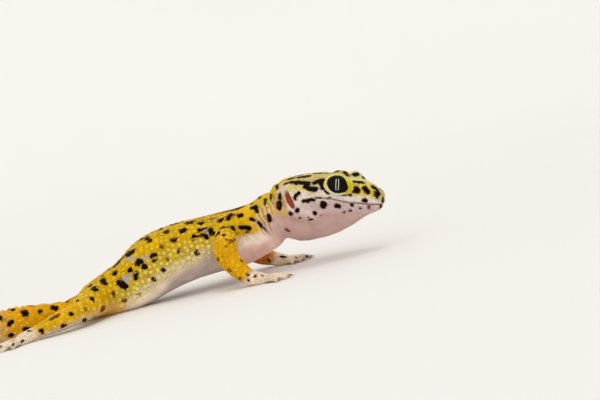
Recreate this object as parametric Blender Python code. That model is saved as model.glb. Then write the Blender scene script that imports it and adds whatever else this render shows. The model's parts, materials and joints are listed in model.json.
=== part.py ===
"""A leopard gecko, life size, as a still museum model that lies on a flat floor.

The animal faces +X, its left side is towards +Y and the floor is z = 0. The body is modelled whole from
lofts, tubes and balls, melted into one skin by a voxel remesh, and then parted with thin cuts into head,
lower jaw, neck, trunk, tail and the three lengths of each leg. Eyes and ear drums are solids of their own.
"""

import math
from collections import namedtuple

import bmesh
import bpy
from mathutils import Matrix, Vector
from mathutils.bvhtree import BVHTree

MM = 0.001  # every size below is in millimetres

# Making of the solids
VOXEL = 0.35  # grain of the remesh that melts the shapes together
SMOOTH_STEPS = 9
TRIANGLES = 4000  # about what the whole body keeps
CUT = 0.3  # gap left by each cut, and round the eye and the ear drum
RING_POINTS = 36

# Head, in its own axes: x forwards along the mouth line, y to the left, z up, measured from the middle of
# the line between the mouth's corners
HEAD_PLACE = Vector((23.6, -1.5, 16.6))
HEAD_DOWN = math.radians(19.2)  # how far the mouth line points down
HEAD_TURN = math.radians(13)  # how far the head is turned to the animal's right
HeadRing = namedtuple("HeadRing", "x top bottom half_width roof throat")
HEAD = (
    HeadRing(-13.5, 1.8, -9.8, 5.6, 2.0, 2.0),
    HeadRing(-10.5, 3.6, -11.3, 6.7, 2.1, 2.0),
    HeadRing(-7.5, 4.7, -12.0, 7.9, 2.2, 1.9),
    HeadRing(-4.0, 5.7, -12.2, 8.4, 2.3, 1.9),
    HeadRing(0.0, 6.4, -11.0, 8.1, 2.4, 1.9),
    HeadRing(4.0, 6.4, -9.3, 7.0, 2.4, 1.9),
    HeadRing(8.0, 6.5, -6.7, 5.7, 2.4, 1.9),
    HeadRing(11.0, 5.9, -4.1, 4.7, 2.3, 2.0),
    HeadRing(13.5, 5.0, -2.1, 3.7, 2.2, 2.2),
    HeadRing(15.2, 3.9, -0.8, 2.5, 2.1, 2.3),
    HeadRing(16.0, 2.9, 0.2, 1.2, 2.0, 2.0),
)
EYE_PLACE = Vector((3.9, 3.85, 3.7))
EYE_AXIS = Vector((0.17, 0.90, 0.39)).normalized()
EYE_RADII = Vector((2.95, 2.75, 2.6))  # along, across and up
LID = 0.45
EYE_OPENING = (2.85, 2.12)  # half length and half height between the lids
EAR_LINE = (Vector((-8.3, 0.0, 1.0)), Vector((-7.4, 0.0, -0.9)), Vector((-5.8, 0.0, -2.5)))
EAR_RADIUS = 0.75
EAR_DRUM_RADIUS = 0.42
MOUTH_FRONT = 0.12
MOUTH_CORNER = 0.6  # the mouth line's height at its corners

# Neck and trunk, from front to back: place, height of the back, height of the belly, half width
BodyRing = namedtuple("BodyRing", "x y top bottom half_width")
BODY = (
    BodyRing(15.0, 0.3, 20.8, 9.0, 5.4),
    BodyRing(10.5, 1.3, 21.2, 7.8, 6.0),
    BodyRing(5.5, 1.6, 19.5, 5.0, 6.5),
    BodyRing(-1.0, 1.4, 19.2, 3.4, 7.7),
    BodyRing(-8.0, 1.0, 19.1, 3.4, 8.5),
    BodyRing(-16.0, 0.4, 19.1, 2.8, 9.3),
    BodyRing(-24.0, -0.2, 17.6, 1.2, 9.3),
    BodyRing(-31.0, -1.0, 13.4, -0.4, 7.9),
    BodyRing(-37.0, -2.0, 10.9, -0.5, 6.2),
    BodyRing(-42.0, -3.2, 8.9, -0.3, 4.8),
)

# Tail, from the vent: share of its length, half width, and heading in degrees, counted from straight back
# towards the animal's right
TAIL_LENGTH = 64.0
TailRing = namedtuple("TailRing", "share half_width heading")
TAIL = (
    TailRing(0.0, 4.5, 15.0),
    TailRing(0.08, 3.8, 17.0),
    TailRing(0.3, 4.9, 12.0),
    TailRing(0.6, 3.9, -12.0),
    TailRing(0.85, 2.1, -45.0),
    TailRing(1.0, 0.7, -60.0),
)
TAIL_FLATNESS = 0.9  # height over width
TAIL_STEP = 0.95  # distance between the rings of its loft
TAIL_FOLD = 3.8  # the tail swells and shrinks a little at this pitch
TAIL_FOLD_DEPTH = 0.04

# Legs: joints with the limb's radius there, ending at the palm or sole, then where the digits point
Joint = namedtuple("Joint", "x y z radius")
Digit = namedtuple("Digit", "turn length")
Leg = namedtuple("Leg", "upper lower foot side joints heading digits")
HAND_DIGITS = (Digit(52, 3.4), Digit(26, 4.8), Digit(2, 5.6), Digit(-20, 5.6), Digit(-46, 4.4))
FOOT_DIGITS = (Digit(46, 3.8), Digit(24, 5.6), Digit(4, 7.0), Digit(-16, 7.6), Digit(-52, 5.6))
LEGS = (
    Leg(
        "upper_arm", "forearm", "hand", "right",
        (
            Joint(-2.2, -4.0, 13.0, 3.9), Joint(-3.4, -8.6, 11.9, 3.5), Joint(-4.0, -12.2, 9.2, 3.2),
            Joint(-2.1, -13.3, 5.4, 2.8), Joint(0.7, -14.1, 2.3, 2.1), Joint(3.4, -14.7, 1.3, 1.7),
        ),
        -3.0, HAND_DIGITS,
    ),
    Leg(
        "upper_arm", "forearm", "hand", "left",
        (
            Joint(-1.8, 6.0, 12.4, 3.9), Joint(-1.0, 10.2, 9.6, 3.5), Joint(0.6, 13.2, 6.4, 3.1),
            Joint(3.8, 14.0, 3.9, 2.7), Joint(7.0, 13.6, 2.2, 2.0), Joint(9.6, 13.0, 1.3, 1.7),
        ),
        -12.0, HAND_DIGITS,
    ),
    Leg(
        "thigh", "shin", "foot", "right",
        (
            Joint(-36.4, -4.4, 5.4, 4.4), Joint(-40.4, -10.4, 4.8, 3.9), Joint(-43.6, -16.0, 4.0, 3.0),
            Joint(-49.4, -17.8, 3.0, 2.5), Joint(-55.0, -19.2, 1.9, 1.7), Joint(-58.0, -20.6, 1.3, 1.6),
        ),
        205.0, FOOT_DIGITS,
    ),
    Leg(
        "thigh", "shin", "foot", "left",
        (
            Joint(-36.2, 0.6, 5.4, 4.4), Joint(-35.2, 8.2, 5.0, 3.9), Joint(-33.6, 14.6, 4.4, 3.0),
            Joint(-38.6, 18.4, 3.4, 2.5), Joint(-44.0, 21.2, 2.0, 1.7), Joint(-46.4, 23.4, 1.3, 1.6),
        ),
        84.0, FOOT_DIGITS,
    ),
)
DIGIT_RADIUS = 0.74
DIGIT_TIP_RADIUS = 0.6
CLAW_LENGTH = 1.0
CLAW_RADIUS = 0.28


# Colour and roughness of each kind of piece, by the start of its name
LOOKS = (
    ("eye", ((0.012, 0.011, 0.01), 0.05)),
    ("ear", ((0.36, 0.09, 0.04), 0.5)),
    ("lower_jaw", ((0.7, 0.5, 0.46), 0.5)),
    ("head", ((0.72, 0.56, 0.22), 0.5)),
    ("hand", ((0.74, 0.58, 0.48), 0.5)),
    ("foot", ((0.74, 0.58, 0.48), 0.5)),
    ("", ((0.72, 0.45, 0.04), 0.5)),
)


# ---------------------------------------------------------------- helpers

def head_matrix():
    """The head's own axes, in the animal's."""
    turn = Matrix.Rotation(-HEAD_TURN, 4, "Z")
    down = Matrix.Rotation(HEAD_DOWN, 4, "Y")
    return Matrix.Translation(HEAD_PLACE) @ turn @ down


def smooth_curve(rows, per_row):
    """Catmull-Rom: rows of numbers, with per_row steps put in between each two of them."""
    ends = [[2 * a - b for a, b in zip(rows[0], rows[1])], [2 * a - b for a, b in zip(rows[-1], rows[-2])]]
    padded = [ends[0], *rows, ends[1]]
    found = []
    for before, start, end, after in zip(padded, padded[1:], padded[2:], padded[3:]):
        for step in range(per_row):
            t = step / per_row
            found.append([
                0.5 * (2 * b + (c - a) * t
                       + (2 * a - 5 * b + 4 * c - d) * t**2
                       + (3 * b - a - 3 * c + d) * t**3)
                for a, b, c, d in zip(before, start, end, after)
            ])
    found.append(list(rows[-1]))
    return found


def at_share(rows, share):
    """Rows that start with a share from 0 to 1, read smoothly at any share."""
    curve = smooth_curve(rows, 12)
    for low, high in zip(curve, curve[1:]):
        if share <= high[0]:
            t = (share - low[0]) / (high[0] - low[0])
            return [a + (b - a) * t for a, b in zip(low, high)]
    return curve[-1]


def new_object(name, mesh_data, matrix=Matrix.Identity(4)):
    """An object from a bmesh in millimetres."""
    mesh = bpy.data.meshes.new(name)
    bmesh.ops.transform(mesh_data, matrix=Matrix.Scale(MM, 4) @ matrix, verts=mesh_data.verts)
    bmesh.ops.recalc_face_normals(mesh_data, faces=mesh_data.faces)
    mesh_data.to_mesh(mesh)
    mesh_data.free()
    made = bpy.data.objects.new(name, mesh)
    bpy.context.scene.collection.objects.link(made)
    return made


def loft(name, rings, matrix=Matrix.Identity(4)):
    """A closed skin over rings of points, with flat ends."""
    shape = bmesh.new()
    loops = [[shape.verts.new(point) for point in ring] for ring in rings]
    for low, high in zip(loops, loops[1:]):
        for i in range(len(low)):
            after = (i + 1) % len(low)
            shape.faces.new((low[i], low[after], high[after], high[i]))
    shape.faces.new(loops[0])
    shape.faces.new(loops[-1])
    return new_object(name, shape, matrix)


def ball(name, centre, radii, matrix=Matrix.Identity(4), segments=24):
    """A sphere or an ellipsoid."""
    shape = bmesh.new()
    place = Matrix.Translation(centre) @ Matrix.Diagonal((*radii, 1.0))
    bmesh.ops.create_uvsphere(shape, u_segments=segments, v_segments=segments // 2, radius=1.0, matrix=place)
    return new_object(name, shape, matrix)


def egg_ring(centre, across, up, half_width, top, bottom, roof=2.1, floor=2.3):
    """A section whose upper and lower halves are each half a superellipse of its own squareness."""
    ring = []
    for i in range(RING_POINTS):
        angle = 2 * math.pi * i / RING_POINTS
        c, s = math.cos(angle), math.sin(angle)
        power = 2 / (roof if s > 0 else floor)
        height = top if s > 0 else bottom
        sideways = math.copysign(abs(c) ** power, c) * half_width
        ring.append(centre + across * sideways + up * math.copysign(abs(s) ** power, s) * height)
    return ring


def tube(name, joints, sides=20, steps=6):
    """A round limb through joints (x, y, z, radius), with a ball at each end."""
    rows = smooth_curve([tuple(j) for j in joints], steps)
    points = [Vector(row[:3]) for row in rows]
    rings = []
    for i, row in enumerate(rows):
        along = (points[min(i + 1, len(points) - 1)] - points[max(i - 1, 0)]).normalized()
        across = along.cross(Vector((0, 0, 1))).normalized()
        up = across.cross(along)
        rings.append([
            points[i] + row[3] * (across * math.cos(a) + up * math.sin(a))
            for a in (2 * math.pi * k / sides for k in range(sides))
        ])
    ends = [ball(name + "_end", points[i], (rows[i][3],) * 3, segments=sides) for i in (0, -1)]
    return [loft(name, rings), *ends]


def evaluated_copy(obj, name):
    """The object's mesh with its modifiers applied, as a new object. The first one is removed."""
    graph = bpy.context.evaluated_depsgraph_get()
    mesh = bpy.data.meshes.new_from_object(obj.evaluated_get(graph))
    mesh.materials.clear()
    bpy.data.objects.remove(obj)
    made = bpy.data.objects.new(name, mesh)
    bpy.context.scene.collection.objects.link(made)
    return made


def joined(name, objects):
    """Several objects as one mesh."""
    shape = bmesh.new()
    for obj in objects:
        shape.from_mesh(obj.data)
        bpy.data.objects.remove(obj)
    mesh = bpy.data.meshes.new(name)
    shape.to_mesh(mesh)
    shape.free()
    made = bpy.data.objects.new(name, mesh)
    bpy.context.scene.collection.objects.link(made)
    return made


def united(name, objects):
    """Several closed objects made one closed body."""
    first, *others = objects
    for other in others:
        add = first.modifiers.new("add", "BOOLEAN")
        add.operation = "UNION"
        add.object = other
        first = evaluated_copy(first, name)
        bpy.data.objects.remove(other)
    return first


def carve(target, cutter, name):
    """The target with the cutter taken away. The cutter is removed."""
    cutter.hide_render = True
    cutter.display_type = "WIRE"
    modifier = target.modifiers.new("carve", "BOOLEAN")
    modifier.operation = "DIFFERENCE"
    modifier.object = cutter
    made = evaluated_copy(target, name)
    bpy.data.objects.remove(cutter)
    return made


# ---------------------------------------------------------------- the shapes that melt into the body

def body_path():
    """The rings of neck, trunk and tail as (centre, half width, top, bottom), front to back."""
    rows = []
    for ring in smooth_curve([tuple(r) for r in BODY], 5):
        x, y, top, bottom, half_width = ring
        middle = (top + bottom) / 2
        rows.append((Vector((x, y, middle)), half_width, top - middle, middle - bottom))
    place = rows[-1][0].copy()
    steps = round(TAIL_LENGTH / TAIL_STEP)
    for step in range(1, steps + 1):
        _, half_width, heading = at_share([tuple(r) for r in TAIL], step / steps)
        half_width *= 1 + TAIL_FOLD_DEPTH * math.cos(2 * math.pi * step * TAIL_STEP / TAIL_FOLD)
        turn = math.radians(heading)
        place = place + Vector((-math.cos(turn), -math.sin(turn), 0)) * TAIL_LENGTH / steps
        half_height = half_width * TAIL_FLATNESS
        place.z = place.z * 0.7 + (half_height - 0.25) * 0.3
        rows.append((place.copy(), half_width, half_height, half_height))
    return rows


def body_loft():
    rows = body_path()
    rings = []
    for i, (centre, half_width, top, bottom) in enumerate(rows):
        along = rows[max(i - 1, 0)][0] - rows[min(i + 1, len(rows) - 1)][0]
        across = Vector((0, 0, 1)).cross(along).normalized()
        along.z *= 0.5
        up = along.normalized().cross(across)
        rings.append(egg_ring(centre, across, up, half_width, top, bottom))
    tip = rows[-1]
    return [loft("trunk_loft", rings), ball("tail_end", tip[0], (tip[1],) * 3)]


def head_loft():
    rings = []
    for row in smooth_curve([tuple(r) for r in HEAD], 4):
        x, top, bottom, half_width, roof, throat = row
        rings.append(egg_ring(
            Vector((x, 0, 0)), Vector((0, 1, 0)), Vector((0, 0, 1)), half_width, top, -bottom, roof, throat
        ))
    return loft("head_loft", rings, head_matrix())


def head_lumps():
    """What stands out from the head: eyelids, brows, jaw muscles and nostril mounds, on both sides."""
    lumps = []
    for side in (-1, 1):
        mirror = Vector((1, side, 1))
        for name, centre, radii in (
            ("lids", EYE_PLACE, [r + CUT + LID for r in EYE_RADII]),
            ("brow", Vector((5.7, 4.1, 4.9)), (3.8, 1.7, 1.6)),
            ("temple", Vector((-4.6, 4.6, 1.6)), (4.6, 3.2, 3.0)),
            ("jowl", Vector((-4.2, 5.9, -3.2)), (5.2, 3.0, 3.6)),
            ("cheek", Vector((5.0, 4.8, 0.6)), (4.6, 2.3, 1.8)),
            ("nostril", Vector((14.0, 2.0, 3.0)), (1.5, 1.3, 1.3)),
        ):
            lumps.append(ball(name, centre * mirror, radii, head_matrix()))
    return lumps


def leg_shapes(leg):
    """One leg as tubes: the limb itself, the palm or sole, and its digits with claws."""
    shapes = tube("limb", leg.joints)
    palm = Vector(leg.joints[-1][:3])
    side = -1 if leg.side == "right" else 1
    reach = leg.joints[-1].radius
    for digit in leg.digits:
        heading = math.radians(leg.heading - side * digit.turn)
        along = Vector((math.cos(heading), math.sin(heading), 0))
        root = palm + along * reach * 0.5
        knuckle = palm + along * (reach + digit.length * 0.45)
        tip = palm + along * (reach + digit.length)
        claw = tip + along * CLAW_LENGTH
        shapes += tube("digit", (
            (root.x, root.y, 1.15, DIGIT_RADIUS * 1.2), (knuckle.x, knuckle.y, 1.15, DIGIT_RADIUS),
            (tip.x, tip.y, DIGIT_TIP_RADIUS - 0.1, DIGIT_TIP_RADIUS),
        ))
        shapes += tube("claw", (
            (tip.x, tip.y, 0.55, DIGIT_TIP_RADIUS * 0.8), (claw.x, claw.y, CLAW_RADIUS - 0.02, CLAW_RADIUS)
        ), sides=10)
    return shapes


def whole_body():
    """Everything of flesh as one closed mesh, flat where it meets the floor."""
    shapes = [*body_loft(), head_loft(), *head_lumps()]
    for leg in LEGS:
        shapes += leg_shapes(leg)
    body = joined("gecko", shapes)
    melt = body.modifiers.new("melt", "REMESH")
    melt.mode = "VOXEL"
    melt.voxel_size = VOXEL * MM
    even = body.modifiers.new("even", "SMOOTH")
    even.factor = 0.5
    even.iterations = SMOOTH_STEPS
    body = evaluated_copy(body, "gecko")
    faces = sum(len(polygon.vertices) - 2 for polygon in body.data.polygons)
    fewer = body.modifiers.new("fewer", "DECIMATE")
    fewer.ratio = TRIANGLES / faces
    body = evaluated_copy(body, "gecko")
    below = bmesh.new()
    under = Matrix.Translation((0, 0, -10)) @ Matrix.Diagonal((400, 400, 20, 1))
    bmesh.ops.create_cube(below, size=1.0, matrix=under)
    return carve(body, new_object("under_floor", below), "gecko")


# ---------------------------------------------------------------- cuts

def disc(centre, normal, radius):
    """A thin round cutter across a limb."""
    shape = bmesh.new()
    turn = Vector(normal).normalized().to_track_quat("Z", "Y").to_matrix().to_4x4()
    bmesh.ops.create_cone(
        shape, cap_ends=True, segments=24, radius1=radius, radius2=radius, depth=CUT,
        matrix=Matrix.Translation(centre) @ turn,
    )
    return new_object("disc", shape)


def jaw_sheet():
    """The thin bent sheet between head and lower jaw: along the mouth, then down behind the throat."""
    line = [
        (19.0, MOUTH_FRONT), (9.0, MOUTH_FRONT), (4.0, 0.25),
        (0.3, MOUTH_CORNER), (-3.0, -2.4), (-11.2, -16.5),
    ]
    rows = smooth_curve(line, 4)
    shape = bmesh.new()
    strips = []
    for i, (x, z) in enumerate(rows):
        before, after = rows[max(i - 1, 0)], rows[min(i + 1, len(rows) - 1)]
        normal = Vector((before[1] - after[1], 0, after[0] - before[0])).normalized() * CUT / 2
        corners = ((12, 1), (-12, 1), (-12, -1), (12, -1))
        strips.append([shape.verts.new(Vector((x, y, z)) + normal * face) for y, face in corners])
    for low, high in zip(strips, strips[1:]):
        for i in range(4):
            shape.faces.new((low[i], low[(i + 1) % 4], high[(i + 1) % 4], high[i]))
    shape.faces.new(strips[0])
    shape.faces.new(strips[-1])
    return new_object("jaw_sheet", shape, head_matrix())


def eye_hollow(side):
    """A ball for the socket, and the almond between the lids that opens it to the outside."""
    mirror = Vector((1, side, 1))
    centre, axis = EYE_PLACE * mirror, EYE_AXIS * mirror
    forward = (Vector((1, 0, 0)) - axis * axis.x).normalized()
    up = axis.cross(forward) * -side
    rings = []
    for reach in (0.0, 6.0):
        ring = []
        for i in range(24):
            angle = 2 * math.pi * i / 24
            corner = 1 + 0.10 * max(0.0, math.cos(angle + math.radians(8))) ** 8
            ring.append(
                centre + axis * reach
                + forward * math.cos(angle) * EYE_OPENING[0] * corner
                + up * math.sin(angle) * EYE_OPENING[1]
            )
        rings.append(ring)
    socket = ball("socket", centre, [r + CUT for r in EYE_RADII], head_matrix(), 20)
    return [socket, loft("lid_opening", rings, head_matrix())]


def ear_tubes(body, side):
    """The pit of one ear, and the drum that lies in it, both along the ear's line dropped on to the head."""
    surface = BVHTree.FromObject(body, bpy.context.evaluated_depsgraph_get())
    matrix = head_matrix()
    outwards = (matrix.to_3x3() @ Vector((0, side, 0))).normalized()
    on_skin = []
    for point in EAR_LINE:
        start = matrix @ Vector((point.x, side * 14.0, point.z))
        hit, _, _, _ = surface.ray_cast(start * MM, -outwards)
        on_skin.append(hit / MM)
    pit = [(*(p - outwards * 0.2), EAR_RADIUS) for p in on_skin]
    drum = [(*(p - outwards * 0.5), EAR_DRUM_RADIUS) for p in on_skin]
    return tube("ear_pit", pit, sides=10, steps=3), tube("ear_drum", drum, sides=8, steps=3)


def leg_cuts(leg):
    """Thin discs where a leg leaves the body, at its elbow or knee, and at its wrist or ankle."""
    joints = [Vector(j[:3]) for j in leg.joints]
    radii = [j.radius for j in leg.joints]
    hip = joints[1].lerp(joints[2], 0.15)
    ankle = joints[3].lerp(joints[4], 0.92)
    return [
        disc(hip, joints[2] - joints[0], radii[1] * 1.3),
        disc(joints[2], (joints[3] - joints[1]), radii[2] * 1.7),
        disc(ankle, joints[4] - joints[3], radii[4] * 1.9),
    ]


def body_cuts():
    """Thin discs across neck and tail, and the bent sheet that frees the lower jaw."""
    matrix = head_matrix()
    forwards = (matrix.to_3x3() @ Vector((1, 0, 0))).normalized()
    cuts = [jaw_sheet(), disc(matrix @ Vector((-11.6, 0, -5.0)), forwards, 12.0)]
    cuts.append(disc(Vector((3.2, 1.5, 11.6)), Vector((0.97, 0.0, 0.24)), 11.5))
    path = body_path()
    first_tail = len(smooth_curve([tuple(r) for r in BODY], 5))
    for share, radius in ((0.07, 6.3), (0.36, 7.0), (0.68, 6.0)):
        i = first_tail + round(share * TAIL_LENGTH / TAIL_STEP)
        along = path[i - 1][0] - path[i][0]
        along.z = 0
        cuts.append(disc(path[i][0], along, radius))
    return cuts


# ---------------------------------------------------------------- the model

def named_centres():
    """A point well inside each piece of flesh."""
    matrix = head_matrix()
    path = body_path()
    first_tail = len(smooth_curve([tuple(r) for r in BODY], 5))
    steps = round(TAIL_LENGTH / TAIL_STEP)
    centres = {
        "head": matrix @ Vector((2.0, 0, 2.0)),
        "lower_jaw": matrix @ Vector((3.0, 0, -4.0)),
        "neck": Vector((8.0, 1.4, 13.0)),
        "trunk": Vector((-18.0, 0, 9.0)),
        "tail_base": path[first_tail + round(0.15 * steps)][0],
        "tail_middle": path[first_tail + round(0.48 * steps)][0],
        "tail_tip": path[first_tail + round(0.82 * steps)][0],
    }
    for leg in LEGS:
        joints = [Vector(j[:3]) for j in leg.joints]
        centres[f"{leg.upper}_{leg.side}"] = joints[1].lerp(joints[2], 0.35)
        centres[f"{leg.lower}_{leg.side}"] = joints[3]
        centres[f"{leg.foot}_{leg.side}"] = joints[5]
    return centres


def loose_parts(obj):
    """The separate shells of a mesh, as sets of vertex indices, biggest first."""
    shape = bmesh.new()
    shape.from_mesh(obj.data)
    left = set(shape.verts)
    parts = []
    while left:
        start = left.pop()
        part, front = {start}, [start]
        while front:
            vert = front.pop()
            for edge in vert.link_edges:
                other = edge.other_vert(vert)
                if other in left:
                    left.discard(other)
                    part.add(other)
                    front.append(other)
        parts.append(sorted(v.index for v in part))
    shape.free()
    return sorted(parts, key=len, reverse=True)


def piece_of(obj, name, keep):
    """One shell of the mesh as an object of its own."""
    shape = bmesh.new()
    shape.from_mesh(obj.data)
    kept = set(keep)
    bmesh.ops.delete(shape, geom=[v for v in shape.verts if v.index not in kept], context="VERTS")
    mesh = bpy.data.meshes.new(name)
    shape.to_mesh(mesh)
    shape.free()
    made = bpy.data.objects.new(name, mesh)
    bpy.context.scene.collection.objects.link(made)
    return made


def painted(obj, colour, roughness):
    """The object's own material, and smooth shading."""
    material = bpy.data.materials.new(obj.name)
    material.use_nodes = True
    shader = material.node_tree.nodes["Principled BSDF"]
    shader.inputs["Base Color"].default_value = (*colour, 1.0)
    shader.inputs["Roughness"].default_value = roughness
    shader.inputs["Metallic"].default_value = 0.0
    obj.data.materials.append(material)
    obj.data.shade_smooth()


def main():
    for old in list(bpy.data.objects):
        bpy.data.objects.remove(old)
    body = whole_body()
    ears = [(name, *ear_tubes(body, side)) for name, side in (("ear_right", -1), ("ear_left", 1))]
    cutters = body_cuts()
    for leg in LEGS:
        cutters += leg_cuts(leg)
    for _, pit, _ in ears:
        cutters += pit
    for side in (-1, 1):
        cutters += eye_hollow(side)
    for cutter in cutters:
        body = carve(body, cutter, "gecko")
    parts = loose_parts(body)
    for name, centre in named_centres().items():
        middles = [
            sum((body.data.vertices[i].co for i in part), Vector()) / len(part) / MM for part in parts
        ]
        nearest = min(range(len(parts)), key=lambda i: (middles[i] - centre).length)
        piece_of(body, name, parts[nearest])
    bpy.data.objects.remove(body)
    for name, _, drum in ears:
        united(name, drum)
    for name, side in (("eye_right", -1), ("eye_left", 1)):
        ball(name, EYE_PLACE * Vector((1, side, 1)), EYE_RADII, head_matrix(), 20)
    pieces = list(bpy.data.objects)
    corners = [vertex.co for piece in pieces for vertex in piece.data.vertices]
    middle = [(min(c[axis] for c in corners) + max(c[axis] for c in corners)) / 2 for axis in (0, 1)]
    to_middle = Matrix.Translation((-middle[0], -middle[1], -min(c.z for c in corners)))
    for piece in pieces:
        piece.data.transform(to_middle)
        painted(piece, *next(look for start, look in LOOKS if piece.name.startswith(start)))


main()
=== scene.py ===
# %% [markdown]
# # A leopard gecko, life size
# The solids of the model are already in place: they are the frame, and nothing here moves them. This script
# dresses them. A seamless skin goes over all the flesh, with lids, lips, folds and scales. Rows of
# tubercles, which are the round raised scales of this lizard, stand on the skin. Eyeballs, ear membranes
# and claws are pieces of their own.
#
# All lengths are written in millimetres, because the whole animal is only 14 centimetres long.

# %% Load the frame
import json
import math
from collections import namedtuple

import bmesh
import bpy
import numpy as np
from mathutils import Matrix, Vector
from mathutils.bvhtree import BVHTree

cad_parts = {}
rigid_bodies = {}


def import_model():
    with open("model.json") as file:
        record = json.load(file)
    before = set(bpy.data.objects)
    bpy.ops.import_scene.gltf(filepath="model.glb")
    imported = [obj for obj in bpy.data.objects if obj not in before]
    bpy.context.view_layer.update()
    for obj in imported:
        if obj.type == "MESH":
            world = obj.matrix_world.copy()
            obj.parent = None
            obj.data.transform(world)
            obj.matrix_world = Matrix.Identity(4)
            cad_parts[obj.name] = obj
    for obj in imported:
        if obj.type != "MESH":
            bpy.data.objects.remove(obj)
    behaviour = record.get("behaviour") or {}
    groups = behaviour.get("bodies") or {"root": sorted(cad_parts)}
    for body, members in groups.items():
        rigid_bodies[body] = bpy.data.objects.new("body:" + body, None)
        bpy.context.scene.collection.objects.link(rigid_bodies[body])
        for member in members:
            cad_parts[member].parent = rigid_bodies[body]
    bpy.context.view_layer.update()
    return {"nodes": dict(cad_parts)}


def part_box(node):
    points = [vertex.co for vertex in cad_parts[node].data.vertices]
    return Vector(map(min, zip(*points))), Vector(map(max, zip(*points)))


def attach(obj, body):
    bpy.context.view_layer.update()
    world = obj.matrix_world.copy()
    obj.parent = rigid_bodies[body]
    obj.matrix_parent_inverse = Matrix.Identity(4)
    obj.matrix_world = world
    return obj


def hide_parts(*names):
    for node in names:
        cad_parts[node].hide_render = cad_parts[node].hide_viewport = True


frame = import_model()
MM = 0.001
SIDES = {"right": -1, "left": 1}
RIGHT, LEFT = SIDES["right"], SIDES["left"]
ARM, LEG = ("upper_arm", "forearm"), ("thigh", "shin")
LIMB_NODES = [f"{length}_{side}" for side in SIDES for length in (*ARM, "hand", *LEG, "foot")]
FLESH = ["head", "lower_jaw", "neck", "trunk", "tail_base", "tail_middle", "tail_tip", *LIMB_NODES]
print("nodes in the frame:", len(frame["nodes"]), "of which flesh:", len(FLESH))

# %% [markdown]
# ## Where the head is
# The head is turned and lowered, so everything on it is easiest to place in axes of its own: x forwards
# along the mouth, y to the animal's left, z up. The two eyes give these axes. The line through them points
# to the left, and the head's own downward tilt gives the rest.

# %% Axes of the head and of the body
HEAD_DOWN = math.radians(19.2)  # how far the mouth points down
EYE_PLACE = np.array((3.9, 3.85, 3.7))  # the left eye's centre in the head's axes
HEAD_FROM_SHOULDERS = np.array((23.6, -1.5, 16.6))  # the head's zero point, from the body's
UP = np.array((0.0, 0.0, 1.0))


def middle_of(node):
    """The centre of a solid's box, in millimetres."""
    low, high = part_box(node)
    return np.array((low + high) / 2) / MM


def unit(vector):
    """The same direction with length 1."""
    vector = np.asarray(vector, float)
    return vector / np.linalg.norm(vector)


eyes_middle = (middle_of("eye_left") + middle_of("eye_right")) / 2
head_left = unit(middle_of("eye_left") - middle_of("eye_right"))
level_forward = unit(np.cross(head_left, UP))
head_forward = level_forward * math.cos(HEAD_DOWN) - UP * math.sin(HEAD_DOWN)
head_up = np.cross(head_forward, head_left)
HEAD_AXES = np.stack((head_forward, head_left, head_up))
head_zero = eyes_middle - EYE_PLACE[0] * head_forward - EYE_PLACE[2] * head_up
body_zero = head_zero - HEAD_FROM_SHOULDERS
print("head's zero point:", head_zero.round(2), "body's zero point:", body_zero.round(2))


def in_head(points):
    """Points of the model in the head's axes."""
    return (np.atleast_2d(points) - head_zero) @ HEAD_AXES.T


def from_head(points):
    """Points given in the head's axes, as points of the model."""
    return np.atleast_2d(points) @ HEAD_AXES + head_zero


def in_body(points):
    """Points of the model, counted from the body's zero point on the floor between the shoulders."""
    return np.atleast_2d(points) - body_zero


# %% [markdown]
# ## Camera
# The camera is low, level with the animal, and close to its right side. It is rolled, so that the line of
# the back climbs across the view. A long lens keeps the head from looking too large against the tail.

# %% Camera
LENS, SENSOR = 100.0, 36.0
CAMERA_DISTANCE = 434.0
CAMERA_HEIGHT_ANGLE = math.radians(5)
CAMERA_ROLL = math.radians(13.6)
LOOK_AT = body_zero + (17.5, 0.0, 17.1)


def make_camera():
    """A camera that looks along +Y and a little down, rolled about its own axis."""
    looking = np.array((0, math.cos(CAMERA_HEIGHT_ANGLE), -math.sin(CAMERA_HEIGHT_ANGLE)))
    sideways = np.array((1.0, 0, 0))
    upright = np.cross(sideways, looking)
    right = sideways * math.cos(CAMERA_ROLL) - upright * math.sin(CAMERA_ROLL)
    up = sideways * math.sin(CAMERA_ROLL) + upright * math.cos(CAMERA_ROLL)
    made = bpy.data.objects.new("camera", bpy.data.cameras.new("camera"))
    made.data.lens, made.data.sensor_width = LENS, SENSOR
    made.data.clip_start, made.data.clip_end = 0.01, 20
    matrix = Matrix(np.column_stack((right, up, -looking)).tolist()).to_4x4()
    matrix.translation = Vector((LOOK_AT - looking * CAMERA_DISTANCE) * MM)
    made.matrix_world = matrix
    bpy.context.scene.collection.objects.link(made)
    bpy.context.scene.camera = made
    return looking


print("the camera looks along", make_camera().round(3))

# %% [markdown]
# ## Helpers for pieces and for nodes
# Every hand-made shape here is built in the same way: rows of corners, faces from each row to the next, and
# an object at the origin. Materials and Geometry Nodes are both trees of nodes, and one class writes
# either. It adds a node, gives each input a plain value or another node's output, and hands the node back,
# so that the code for a tree is little longer than the list of its nodes.

# %% Rows of corners into a piece
def new_piece(name, mesh):
    """An object for a mesh, at the origin."""
    made = bpy.data.objects.new(name, mesh)
    bpy.context.scene.collection.objects.link(made)
    return made


def full_circle(steps):
    """Angles that part a full circle into this many steps."""
    return [2 * math.pi * step / steps for step in range(steps)]


def piece_from(shape, name):
    """An object made of the faces of a bmesh, which goes."""
    mesh = bpy.data.meshes.new(name)
    shape.to_mesh(mesh)
    shape.free()
    return new_piece(name, mesh)


def bridge(shape, rows, closed=False):
    """Smooth faces from each row of corners to the next. In a closed row the last corner meets the first."""
    for low, high in zip(rows, rows[1:]):
        if closed:
            low, high = low + low[:1], high + high[:1]
        for a, b, c, d in zip(low, low[1:], high[1:], high):
            shape.faces.new((a, b, c, d)).smooth = True


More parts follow.
